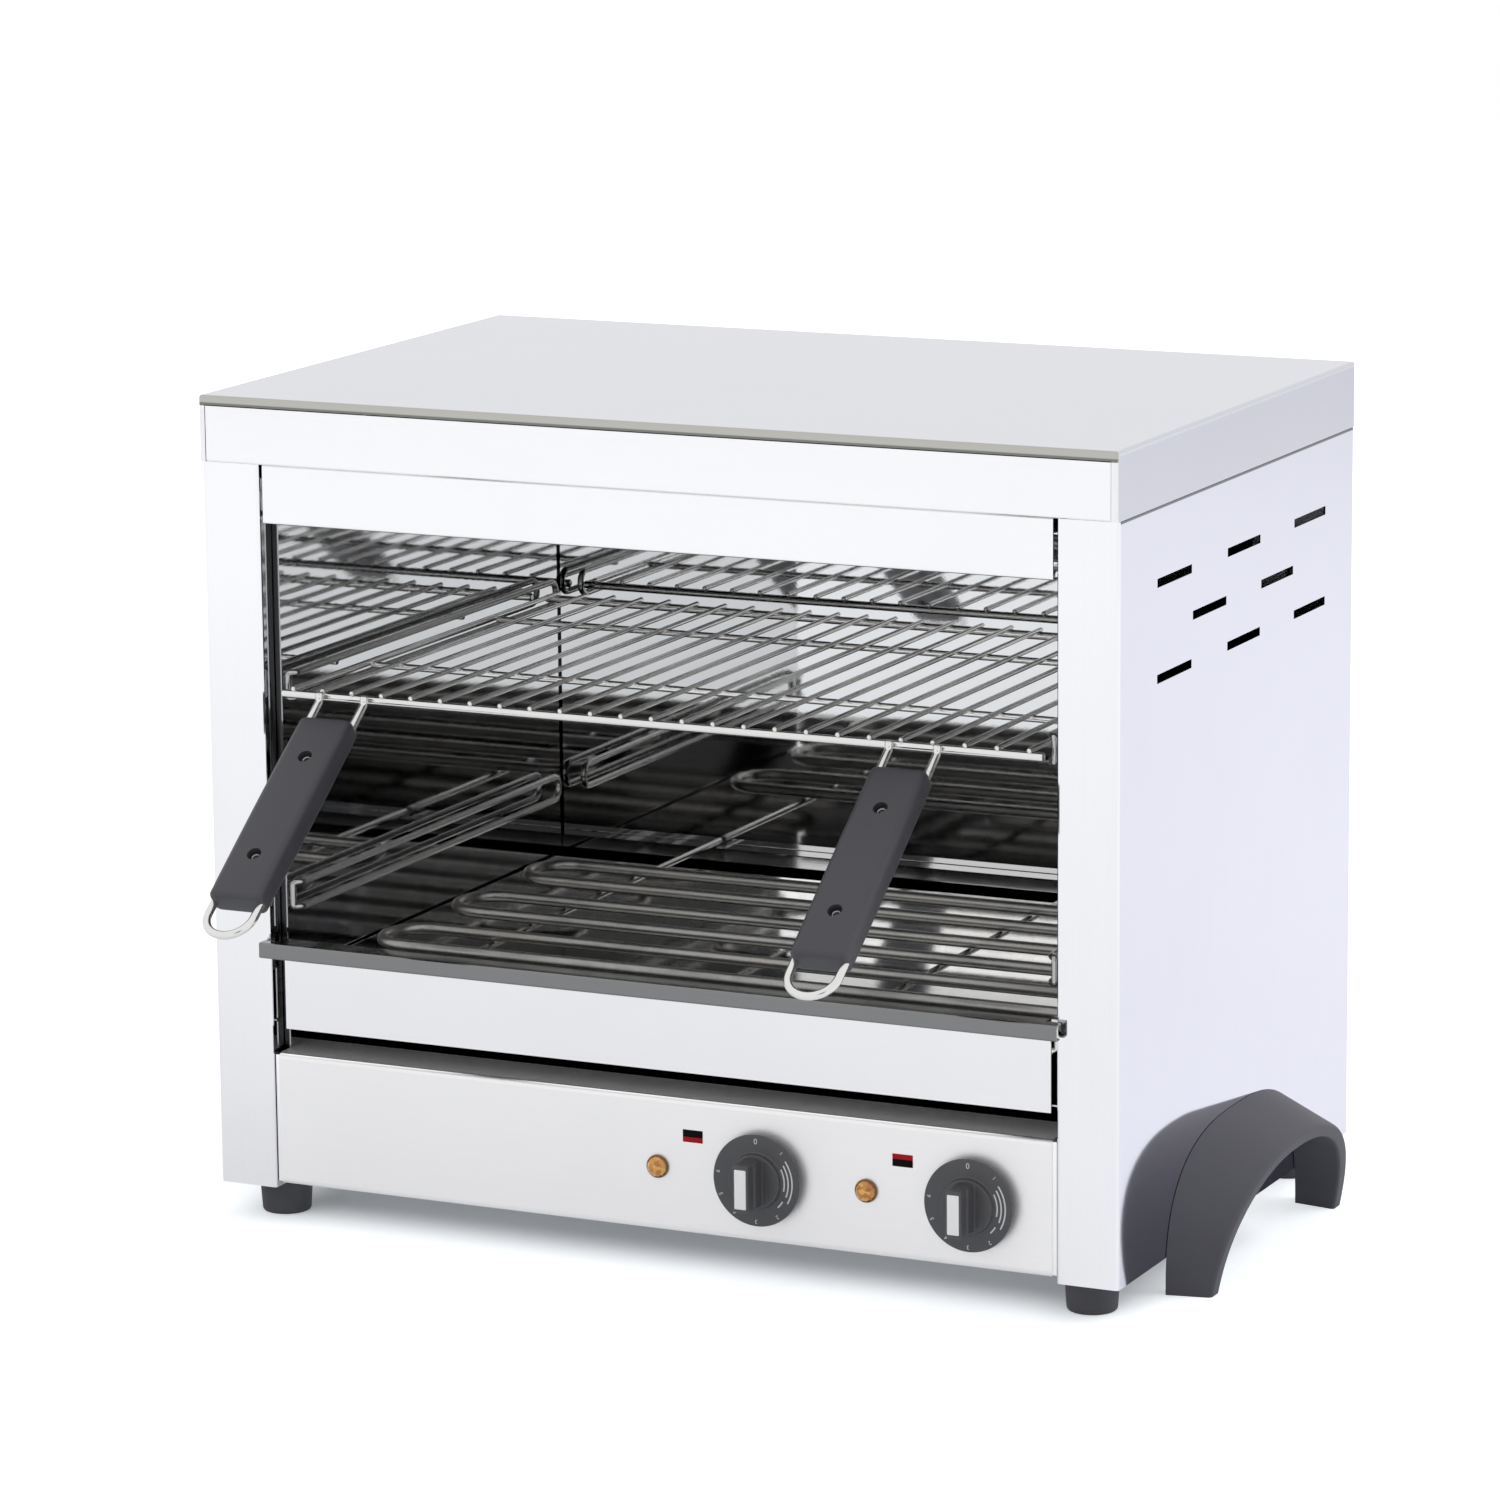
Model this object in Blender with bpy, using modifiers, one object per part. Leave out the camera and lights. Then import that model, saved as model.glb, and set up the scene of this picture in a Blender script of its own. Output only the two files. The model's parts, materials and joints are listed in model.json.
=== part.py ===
"""Countertop salamander grill: sheet steel cabinet with an open grilling cavity.

A wire rack with two dropped handles and a crumb tray slide out at the front,
two dials turn on the control panel, and an arched carrying grip stands at each side.

X runs along the front, Y from the front to the back, Z up from the table.
The cabinet lengths are taken from the lid's front edge and the parent empty centres the whole.
"""
import math

import bmesh
import bpy
from mathutils import Matrix, Vector

# cabinet
body_width = 0.564
body_depth = 0.3675
body_height = 0.485
foot_height = 0.021
outer_sheet = 0.001
inner_sheet = 0.0008
fit_gap = 0.0003
fold_radius = 0.0018
tight_fold_radius = 0.0012

# lid
lid_skirt_height = 0.0384
lid_lip_height = 0.0056
lid_corner_return = 0.004
lid_overhang = 0.0029

# side panels with their front posts
post_width = 0.0366
post_return = 0.0125
deck_setback = 0.0153
rear_return = 0.018
slot_length = 0.051
slot_height = 0.005
slot_last_inset = 0.074
slot_row_pitch = 0.0265
slot_first_y = 0.0825
slot_top_drop = 0.0805

# upper front panel
valance_drop = 0.0727
valance_seam = 0.0022
valance_return = 0.006

# control panel
control_bottom_rise = 0.0025
control_top_z = 0.102
control_setback = 0.001
control_seam = 0.0032
control_fold_radius = 0.0035
control_top_return = 0.036

# cavity
cavity_wall_inset = 0.0045
cavity_front_y = 0.0103
cavity_rear_gap = 0.0035
wall_front_gap = 0.0006
ceiling_drop = 0.048

# heating rods
rod_radius = 0.0035
rod_leg_pitch = 0.044
rod_pitch_y = 0.0911
rod_first_y = 0.0372
rod_bend_inset = 0.0759
rod_through = 0.0150
rod_hole_clearance = 0.0004
lower_ledge_z = 0.1625
upper_ledge_drop = 0.0693
ledge_depth = 0.014
ledge_flange = 0.012
upper_ledge_flange = 0.003
base_flange = 0.012
ledge_front_y = 0.012
support_radius = 0.002
support_inset = 0.035
ceramic_radius = 0.0062
ceramic_length = 0.012
stud_radius = 0.002
stud_length = 0.008
stud_root = 0.003

# wire guides on the cavity walls
guide_radius = 0.002
guide_standoff = 0.0066
guide_front_y = 0.018
guide_rear_gap = 0.024
guide_rise = 0.0145
guide_turn = 0.004
guide_lower_z = 0.186

# rack
rack_rail_z = 0.314
rack_rail_radius = 0.0025
rack_bar_radius = 0.002
rack_wire_radius = 0.0015
rack_wire_margin = 0.008
rack_wire_count = 25
rack_rail_y = 0.008
rack_bar_near_y = 0.102
rack_bar_far_y = 0.260
rack_rear_gap = 0.026
rack_wire_overrun = 0.0025
rack_weld = 0.0006
handle_left_inset = 0.0416
handle_right_inset = 0.0750

# rack handles
handle_wire_radius = 0.0025
handle_leg_pitch = 0.030
handle_start_z = 0.3175
handle_bend_z = 0.3125
handle_bend_radius = 0.009
handle_run = 0.0804
handle_drop = 0.0595
grip_start = 0.018
grip_length = 0.136
grip_width = 0.034
grip_thickness = 0.0165
grip_edge_radius = 0.0045
loop_reach = 0.025
rivet_pitch = 0.074
rivet_hole_radius = 0.0042

# crumb tray
tray_bottom_z = 0.1155
tray_top_z = 0.1675
tray_front_gap = 0.0058
tray_clearance = 0.0008
tray_pan_height = 0.030
tray_rear_gap = 0.014
runner_width = 0.010
runner_z = 0.117
lip_overlap = 0.0031
lip_reach = 0.0050
lip_drop = 0.0092
lip_hem = 0.005
lip_post_clearance = 0.0009

# dials
dial_inset = 0.087
dial_pitch = 0.129
dial_z = 0.0609
dial_radius = 0.0272
dial_skirt = 0.005
dial_edge = 0.0012
dial_stand = 0.0015
dial_boss_radius = 0.0160
dial_boss_height = 0.0032
dial_bar_width = 0.0104
dial_bar_length = 0.0268
dial_bar_height = 0.0172
dial_bar_edge = 0.0012
insert_width = 0.0080
insert_length = 0.0226
insert_sink = 0.0016
insert_stand = 0.0004
shaft_radius = 0.003
shaft_clearance = 0.0005
shaft_into_dial = 0.012
shaft_into_regulator = 0.008
regulator_width = 0.046
regulator_depth = 0.032
regulator_edge = 0.002

# pilot lamps
lamp_to_dial = 0.064
lamp_radius = 0.0068
lamp_dome = 0.0035
lamp_rim = 0.0014
lamp_body_radius = 0.0048
lamp_body_length = 0.024

# feet
foot_inset_x = 0.027
foot_inset_y = 0.0315
foot_top_radius = 0.0155
foot_bottom_radius = 0.0142
foot_round = 0.003

# arched side grips
arch_centre_y = 0.181
arch_half_length = 0.109
arch_height = 0.084
arch_leg = 0.0125
arch_crown = 0.009
arch_width_bottom = 0.0255
arch_lean = 0.014
arch_rim_half_length = 0.104
arch_rim_height = 0.069
arch_edge = 0.0012

# back
back_bottom_rise = 0.002
back_vent_length = 0.060
back_vent_height = 0.005
back_vent_pitch = 0.080
back_vent_drop = 0.085
back_vent_row = 0.020
gland_inset = 0.092
gland_z = 0.058
gland_nut_radius = 0.0135
gland_nut_thickness = 0.005
gland_dome_radius = 0.0105
gland_dome_length = 0.009
gland_thread_radius = 0.008
gland_thread_length = 0.008
gland_bore_radius = 0.0045
terminal_length = 0.044
terminal_width = 0.022
terminal_height = 0.024
terminal_to_gland = 0.040
terminal_inset_y = 0.0425
terminal_edge = 0.002

# bluntness of the side grips' arches, sides on round pieces, the sharpest smooth fold in degrees,
# and how near points are welded
arch_wall_power = 2.7
arch_rim_power = 2.3
dial_sides = 40
ring_sides = 32
foot_sides = 24
hole_sides = 20
bore_sides = 16
bar_sides = 12
bead_sides = 10
wire_sides = 6
smooth_fold = 40
weld_distance = 0.000005

half_width = body_width / 2
lid_bottom_z = body_height - lid_skirt_height
post_front_y = lid_overhang
post_inner_x = half_width - post_width
side_top_z = lid_bottom_z - fit_gap
valance_bottom_z = body_height - valance_drop
back_sheet_y = body_depth - outer_sheet
side_back_y = back_sheet_y - fit_gap
slot_top_z = body_height - slot_top_drop
slot_pitch = (body_depth - slot_last_inset - slot_first_y) / 2
back_vent_z = body_height - back_vent_drop
ceiling_z = body_height - ceiling_drop
upper_ledge_z = body_height - upper_ledge_drop
cavity_half = post_inner_x - cavity_wall_inset
cavity_back_y = body_depth - cavity_rear_gap
tray_front_half = post_inner_x - tray_front_gap
lip_half = post_inner_x + lip_overlap
tray_pan_half = cavity_half - fit_gap - inner_sheet - tray_clearance
tray_pan_back_y = cavity_back_y - tray_rear_gap
inside_x = half_width - outer_sheet - fit_gap
deck_front_y = post_front_y + deck_setback
inside_back_y = side_back_y - outer_sheet - fit_gap
control_face_y = post_front_y + control_setback
control_back_y = control_face_y + control_top_return
partition_z = control_top_z - inner_sheet
wall_front_y = post_front_y + post_return + wall_front_gap
guide_x = cavity_half - guide_standoff
guide_upper_z = rack_rail_z - rack_rail_radius - fit_gap - guide_radius
guide_back_y = cavity_back_y - guide_rear_gap
rod_bend_x = cavity_half - rod_bend_inset
support_x = rod_bend_x - support_inset
rail_half = cavity_half - fit_gap - guide_radius * 2 - fit_gap * 2
rack_back_y = cavity_back_y - rack_rear_gap
rack_wire_pitch = (rail_half - rack_wire_margin) * 2 / (rack_wire_count - 1)
handle_left_x = handle_left_inset - rail_half
handle_right_x = rail_half - handle_right_inset
dial_second_x = half_width - dial_inset
dial_first_x = dial_second_x - dial_pitch
lamp_first_x = dial_first_x - lamp_to_dial
lamp_second_x = dial_second_x - lamp_to_dial
foot_x = half_width - foot_inset_x
gland_x = half_width - gland_inset
terminal_x = gland_x - terminal_to_gland
terminal_y = body_depth - terminal_inset_y
handle_angle = math.atan2(handle_drop, handle_run)
handle_y = rack_rail_y - rack_rail_radius - fit_gap - handle_wire_radius
loop_tip = grip_start + grip_length + loop_reach
front_reach = (loop_tip - handle_wire_radius) * math.cos(handle_angle) + handle_wire_radius - handle_y
back_reach = body_depth + fit_gap + gland_nut_thickness + gland_dome_length
middle_y = (back_reach - front_reach) / 2


def clean_file():
    """Empty the file and make the two collections."""
    for item in list(bpy.data.objects):
        bpy.data.objects.remove(item, do_unlink=True)
    shown = bpy.data.collections.new("salamander_grill")
    tools = bpy.data.collections.new("cutters")
    bpy.context.scene.collection.children.link(shown)
    bpy.context.scene.collection.children.link(tools)
    return shown, tools


parts, cutters = clean_file()


def empty(name, place, parent=None):
    """A named frame for the pieces that move together."""
    holder = bpy.data.objects.new(name, None)
    holder.empty_display_size = fold_radius
    holder.location = place
    holder.parent = parent
    parts.objects.link(holder)
    return holder


cabinet = empty("cabinet_frame", (0, -middle_y, 0))
rack_place = Vector((0, rack_rail_y, rack_rail_z))
tray_place = Vector((0, cavity_front_y, tray_bottom_z))
rack_frame = empty("rack_frame_slide", rack_place, cabinet)
tray_frame = empty("tray_frame_slide", tray_place, cabinet)


def finish(name, colour, roughness, metallic):
    """One Principled material for each kind of surface of each piece."""
    made = bpy.data.materials.new(name)
    made.use_nodes = True
    shader = made.node_tree.nodes["Principled BSDF"]
    shader.inputs["Base Color"].default_value = (*colour, 1)
    shader.inputs["Roughness"].default_value = roughness
    shader.inputs["Metallic"].default_value = metallic
    return made


looks = {
    "steel": ((0.80, 0.80, 0.81), 0.22, 1),
    "mirror": ((0.62, 0.62, 0.63), 0.08, 1),
    "galvanised": ((0.55, 0.56, 0.57), 0.45, 1),
    "wire": ((0.86, 0.86, 0.86), 0.12, 1),
    "rod": ((0.30, 0.30, 0.28), 0.40, 1),
    "grip": ((0.085, 0.085, 0.095), 0.50, 0),
    "dial": ((0.075, 0.078, 0.082), 0.42, 0),
    "white": ((0.92, 0.92, 0.92), 0.35, 0),
    "amber": ((0.80, 0.36, 0.06), 0.20, 0),
    "rubber": ((0.07, 0.07, 0.075), 0.65, 0),
    "black": ((0.03, 0.03, 0.03), 0.45, 0),
    "ceramic": ((0.82, 0.79, 0.70), 0.55, 0),
    "zinc": ((0.60, 0.60, 0.58), 0.35, 1),
}


def dress(item, look, parent=None, place=None, smooth=False):
    """Give a piece its own material, its parent and its place."""
    colour, roughness, metallic = looks[look]
    item.data.materials.clear()
    item.data.materials.append(finish(item.name + "_" + look, colour, roughness, metallic))
    item.parent = cabinet if parent is None else parent
    if place is not None:
        item.location = place
    if smooth:
        smooth_round(item)
    return item


def smooth_round(item):
    """Shade round faces smooth and keep the edges crisp."""
    for face in item.data.polygons:
        face.use_smooth = True
    item.data.set_sharp_from_angle(angle=math.radians(smooth_fold))


def node(name, mesh, collection=None):
    item = bpy.data.objects.new(name, mesh)
    (collection or parts).objects.link(item)
    return item


def from_bmesh(name, work, collection=None):
    bmesh.ops.recalc_face_normals(work, faces=work.faces)
    mesh = bpy.data.meshes.new(name)
    work.to_mesh(mesh)
    work.free()
    return node(name, mesh, collection)


def add_block(work, low, high):
    """A rectangular block between two corners."""
    low, high = Vector(low), Vector(high)
    size = high - low
    place = Matrix.Translation((low + high) / 2) @ Matrix.Diagonal((*size, 1))
    return bmesh.ops.create_cube(work, size=1, matrix=place)["verts"]


def block(name, low, high, collection=None):
    work = bmesh.new()
    add_block(work, low, high)
    return from_bmesh(name, work, collection)


turns = {
    "X": Matrix.Rotation(math.pi / 2, 4, "Y"),
    "Y": Matrix.Rotation(-math.pi / 2, 4, "X"),
    "Z": Matrix.Identity(4),
}


def add_rod(work, start, axis, length, radius, sides=ring_sides):
    """A round bar that starts at a point and runs along one axis."""
    turn = turns[axis]
    middle = Vector(start) + turn @ Vector((0, 0, length / 2))
    bmesh.ops.create_cone(
        work, cap_ends=True, segments=sides, radius1=radius,
        radius2=radius, depth=length,
        matrix=Matrix.Translation(middle) @ turn)


def bars(name, places, axis, length, radius, sides=ring_sides, collection=None):
    """Equal round bars in one piece, kept as separate solids."""
    work = bmesh.new()
    for start in places:
        add_rod(work, start, axis, length, radius, sides)
    return from_bmesh(name, work, collection)


def lathe(name, profile, axis, sides=ring_sides, flip=False):
    """Turn a profile of radius and height, given from the top down, about one axis."""
    mesh = bpy.data.meshes.new(name)
    points = [(radius, 0, height) for radius, height in profile]
    edges = [(index, index + 1) for index in range(len(points) - 1)]
    mesh.from_pydata(points, edges, [])
    item = node(name, mesh)
    screw = item.modifiers.new("turned", "SCREW")
    screw.axis = "Z"
    screw.steps = sides
    screw.render_steps = sides
    screw.use_merge_vertices = True
    screw.merge_threshold = weld_distance
    screw.use_smooth_shade = False
    bake(item)
    work = bmesh.new()
    work.from_mesh(item.data)
    turn = turns[axis]
    if flip:
        turn = turn @ Matrix.Rotation(math.pi, 4, "X")
    bmesh.ops.remove_doubles(work, verts=work.verts, dist=weld_distance)
    bmesh.ops.transform(work, matrix=turn, verts=work.verts)
    bmesh.ops.recalc_face_normals(work, faces=work.faces)
    work.to_mesh(item.data)
    work.free()
    return item


def bake(item):
    """Replace a piece's mesh by its finished shape."""
    bpy.context.view_layer.update()
    graph = bpy.context.evaluated_depsgraph_get()
    mesh = bpy.data.meshes.new_from_object(item.evaluated_get(graph))
    item.modifiers.clear()
    item.data = mesh


def rounded(points, radius, steps=3):
    """Replace each inner corner of a path by an arc."""
    path = [points[0]]
    for before, corner, after in zip(points, points[1:], points[2:]):
        back = (before - corner).normalized()
        ahead = (after - corner).normalized()
        half_bend = back.angle(ahead) / 2
        reach = min(radius / math.tan(half_bend), (before - corner).length / 2, (after - corner).length / 2)
        size = reach * math.tan(half_bend)
        centre = corner + (back + ahead).normalized() * (size / math.sin(half_bend))
        first = (corner + back * reach - centre).normalized()
        last = (corner + ahead * reach - centre).normalized()
        for step in range(steps + 1):
            path.append(centre + first.slerp(last, step / steps) * size)
    path.append(points[-1])
    return path


def beside(path, offset):
    """The path moved sideways by an offset, to its left."""
    moved = []
    for index, point in enumerate(path):
        runs = []
        if index > 0:
            runs.append((point - path[index - 1]).normalized())
        if index < len(path) - 1:
            runs.append((path[index + 1] - point).normalized())
        normals = [Vector((-run.y, run.x)) for run in runs]
        mean = sum(normals, Vector((0, 0))).normalized()
        moved.append(point + mean * (offset / mean.dot(normals[0])))
    return moved


lays = {
    "Z": Matrix.Identity(4),
    "X": Matrix(((0, 0, 1, 0), (1, 0, 0, 0), (0, 1, 0, 0), (0, 0, 0, 1))),
}


def plate(name, outline, low, high, axis, collection=None):
    """A closed outline filled and drawn out from low to high along an axis."""
    curve = bpy.data.curves.new(name, "CURVE")
    curve.dimensions = "2D"
    curve.fill_mode = "BOTH"
    curve.extrude = (high - low) / 2
    spline = curve.splines.new("POLY")
    spline.points.add(len(outline) - 1)
    for point, target in zip(spline.points, outline):
        point.co = (target[0], target[1], 0, 1)
    spline.use_cyclic_u = True
    item = node(name, curve)
    mesh = settle(item)
    work = bmesh.new()
    work.from_mesh(mesh)
    place = lays[axis] @ Matrix.Translation((0, 0, (low + high) / 2))
    bmesh.ops.transform(work, matrix=place, verts=work.verts)
    return from_bmesh(name, work, collection)


def settle(item):
    """Turn a curve into a closed mesh and remove the curve."""
    bpy.context.view_layer.update()
    graph = bpy.context.evaluated_depsgraph_get()
    mesh = bpy.data.meshes.new_from_object(item.evaluated_get(graph))
    bpy.data.objects.remove(item, do_unlink=True)
    work = bmesh.new()
    work.from_mesh(mesh)
    bmesh.ops.remove_doubles(work, verts=work.verts, dist=weld_distance)
    work.to_mesh(mesh)
    work.free()
    return mesh


def sheet(name, path, thickness, radius, low, high, axis):
    """Folded sheet: a path with rounded folds, thick to its left, drawn out along an axis."""
    outer = rounded([Vector(point) for point in path], radius)
    outline = outer + beside(outer, thickness)[::-1]
    return plate(name, outline, low, high, axis)


def wire(name, paths, radius, closed=False):
    """Round wire along one or more paths."""
    curve = bpy.data.curves.new(name, "CURVE")
    curve.dimensions = "3D"
    curve.bevel_depth = radius
    curve.bevel_resolution = 2
    curve.use_fill_caps = True
    for path in paths:
        spline = curve.splines.new("POLY")
        spline.points.add(len(path) - 1)
        for point, target in zip(spline.points, path):
            point.co = (*target, 1)
        spline.use_cyclic_u = closed
    item = node(name, curve)
    mesh = settle(item)
    work = bmesh.new()
    work.from_mesh(mesh)
    made = from_bmesh(name, work)
    smooth_round(made)
    return made


def cut(item, tool):
    """Take a cutter's shape out of a piece."""
    tool.hide_render = True
    tool.display_type = "WIRE"
    step = item.modifiers.new("cut_" + tool.name, "BOOLEAN")
    step.operation = "DIFFERENCE"
    step.solver = "EXACT"
    step.object = tool
    bake(item)
    bpy.data.objects.remove(tool, do_unlink=True)


def join(item, other):
    """Weld another shape onto a piece."""
    step = item.modifiers.new("weld_" + other.name, "BOOLEAN")
    step.operation = "UNION"
    step.solver = "EXACT"
    step.object = other
    bake(item)
    bpy.data.objects.remove(other, do_unlink=True)


def soften(item, width, segments=2, angle=50):
    """Round the sharp edges of a piece."""
    step = item.modifiers.new("edges", "BEVEL")
    step.width = width
    step.segments = segments
    step.limit_method = "ANGLE"
    step.angle_limit = math.radians(angle)
    bake(item)


def make_lid():
    """Top sheet with deep side and back skirts and a short rolled lip at the front."""
    work = bmesh.new()
    add_block(work, (-half_width, 0, lid_bottom_z), (half_width, body_depth, body_height))
    floor = [face for face in work.faces if face.normal.z < -0.5]
    bmesh.ops.delete(work, geom=floor, context="FACES_ONLY")
    ridge = [edge for edge in work.edges if not edge.is_boundary]
    bmesh.ops.bevel(
        work, geom=ridge, offset=fold_radius, segments=3, profile=0.5, affect="EDGES")
    lid = from_bmesh("lid_sheet", work)
    shell = lid.modifiers.new("thickness", "SOLIDIFY")
    shell.thickness = outer_sheet
    shell.offset = -1
    shell.use_even_offset = True
    bake(lid)
    reach = fold_radius * 2
    opening = block(
        "lid_front_cutter", (-half_width + lid_corner_return, -reach, lid_bottom_z - reach),
        (half_width - lid_corner_return, reach, body_height - lid_lip_height), cutters)
    cut(lid, opening)
    dress(lid, "steel")
    fascia_half = half_width - lid_corner_return - fit_gap
    top = body_height - lid_lip_height - fit_gap * 2
    fascia = sheet(
        "lid_fascia", [(outer_sheet + valance_return, lid_bottom_z), (fit_gap, lid_bottom_z), (fit_gap, top)],
        -outer_sheet, tight_fold_radius, -fascia_half, fascia_half, "X")
    dress(fascia, "steel")


def slot_places():
    """Centres of the vent slots: rows of three, two and three."""
    places = []
    for row, count in enumerate((3, 2, 3)):
        shift = slot_pitch / 2 if count == 2 else 0
        for index in range(count):
            y = slot_first_y + shift + slot_pitch * index
            places.append((y, slot_top_z - slot_row_pitch * row))
    return places


def make_side(name, side):
    """Outer side panel folded round into the front post and a narrow rear return."""
    outer = side * half_width
    inner = side * post_inner_x
    path = [
        (inner, post_front_y + post_return),
        (inner, post_front_y),
        (outer, post_front_y),
        (outer, side_back_y),
        (side * (half_width - rear_return), side_back_y)]
    panel = sheet(name, path, side * outer_sheet, fold_radius, foot_height, side_top_z, "Z")
    work = bmesh.new()
    deep = fold_radius * 2
    for y, z in slot_places():
        low = (min(outer - deep, outer + deep), y - slot_length / 2, z - slot_height / 2)
        high = (max(outer - deep, outer + deep), y + slot_length / 2, z + slot_height / 2)
        add_block(work, low, high)
    cut(panel, from_bmesh(name + "_slots", work, cutters))
    if side > 0:
        cut(panel, bars("rod_notches", rod_places(post_inner_x - fold_radius), "X", fold_radius * 3,
                        rod_radius + rod_hole_clearance, bar_sides, cutters))
    dress(panel, "steel")


def make_back():
    """Flat back panel with two rows of vents and the hole for the cable inlet."""
    half = half_width - tight_fold_radius
    low_z = foot_height + back_bottom_rise
    back = block("back_panel", (-half, back_sheet_y, low_z), (half, body_depth, side_top_z))
    work = bmesh.new()
    deep = fold_radius
    for row in range(2):
        for index in range(-2, 3):
            x = index * back_vent_pitch
            z = back_vent_z + row * back_vent_row
            add_block(work, (x - back_vent_length / 2, back_sheet_y - deep, z - back_vent_height / 2),
                      (x + back_vent_length / 2, body_depth + deep, z + back_vent_height / 2))
    cut(back, from_bmesh("back_vents", work, cutters))
    gland_hole = [(gland_x, back_sheet_y - deep, gland_z)]
    cut(back, bars("gland_hole", gland_hole, "Y", deep * 3, gland_thread_radius + fit_gap, bore_sides, cutters))
    dress(back, "steel")


def make_decks():
    """Base pan, and the plate between the controls and the cavity."""
    base = sheet(
        "base_pan", [(deck_front_y, foot_height + base_flange), (deck_front_y, foot_height),
                     (inside_back_y, foot_height), (inside_back_y, foot_height + base_flange)],
        outer_sheet, tight_fold_radius, -inside_x, inside_x, "X")
    dress(base, "galvanised")
    deck = block("partition", (-inside_x, control_back_y + fit_gap, partition_z),
                 (inside_x, inside_back_y, partition_z + inner_sheet))
    dress(deck, "galvanised")


def make_front_panels():
    """Upper front panel and control panel between the posts."""
    half = post_inner_x - valance_seam
    face = post_front_y + fit_gap
    valance = sheet(
        "valance", [(face + valance_return, valance_bottom_z), (face, valance_bottom_z), (face, side_top_z),
                    (face + valance_return, side_top_z)],
        -outer_sheet, tight_fold_radius, -half, half, "X")
    dress(valance, "steel")
    half = post_inner_x - control_seam
    bottom = foot_height + control_bottom_rise
    back = deck_front_y - fit_gap
    panel = sheet(
        "control_panel", [(back, bottom), (control_face_y, bottom), (control_face_y, control_top_z),
                          (control_back_y, control_top_z)],
        -outer_sheet, control_fold_radius, -half, half, "X")
    deep = control_fold_radius
    shafts = [(x, control_face_y - deep, dial_z) for x in (dial_first_x, dial_second_x)]
    lamps = [(x, control_face_y - deep, dial_z) for x in (lamp_first_x, lamp_second_x)]
    cut(panel, bars("shaft_holes", shafts, "Y", deep * 2 + outer_sheet,
                    shaft_radius + shaft_clearance * 2, hole_sides, cutters))
    cut(panel, bars("lamp_holes", lamps, "Y", deep * 2 + outer_sheet,
                    lamp_body_radius + fit_gap, hole_sides, cutters))
    dress(panel, "steel")


def rod_legs():
    """Depths of the heating rod legs, front to back, in pairs."""
    pairs = []
    for index in range(3):
        middle = rod_first_y + rod_pitch_y * index
        pairs.append((middle - rod_leg_pitch / 2, middle + rod_leg_pitch / 2))
    return pairs


def rod_height(ledge):
    return ledge + fit_gap + support_radius * 2 + fit_gap + rod_radius


def rod_places(x):
    """Where every rod leg of both banks crosses a plane across the cabinet."""
    places = []
    for ledge in (lower_ledge_z, upper_ledge_z):
        for pair in rod_legs():
            for y in pair:
                places.append((x, y, rod_height(ledge)))
    return places


def make_liners():
    """Polished cavity walls that carry the tray's runners, the rear wall and the ceiling sheet."""
    low = control_top_z + fit_gap
    high = ceiling_z - fit_gap
    for name, side in (("liner_left", -1), ("liner_right", 1)):
        ends = sorted((side * cavity_half, side * (cavity_half + inner_sheet)))
        wall = block(name, (ends[0], wall_front_y, low), (ends[1], cavity_back_y, high))
        weld_runner(wall, side)
        if side > 0:
            cut(wall, bars("rod_holes", rod_places(cavity_half - fold_radius), "X", fold_radius * 2 + inner_sheet,
                           rod_radius + rod_hole_clearance, bar_sides, cutters))
        dress(wall, "mirror")
    half = cavity_half + inner_sheet
    back = block("liner_back", (-half, cavity_back_y + fit_gap, low),
                 (half, cavity_back_y + fit_gap + inner_sheet, high))
    dress(back, "mirror")
    top = block("ceiling_reflector", (-half, cavity_front_y, ceiling_z),
                (half, cavity_back_y + fit_gap + inner_sheet, ceiling_z + inner_sheet))
    dress(top, "mirror")


def weld_runner(wall, side):
    """Ledge strip welded to a cavity wall, on which the tray's pan slides."""
    work = bmesh.new()
    ends = sorted((side * (cavity_half + inner_sheet / 2), side * (cavity_half - runner_width)))
    add_block(work, (ends[0], wall_front_y + fold_radius, runner_z),
              (ends[1], tray_pan_back_y, runner_z + inner_sheet))
    join(wall, from_bmesh("runner", work))


def hairpin(near, far, z, end):
    """Centre line of a U-shaped rod: two legs along X and a half ring at the left."""
    radius = (far - near) / 2
    middle = (far + near) / 2
    path = [Vector((end, near, z))]
    for step in range(9):
        turn = math.pi * step / 8
        path.append(Vector((-rod_bend_x - radius * math.sin(turn), middle - radius * math.cos(turn), z)))
    path.append(Vector((end, far, z)))
    return path


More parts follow.
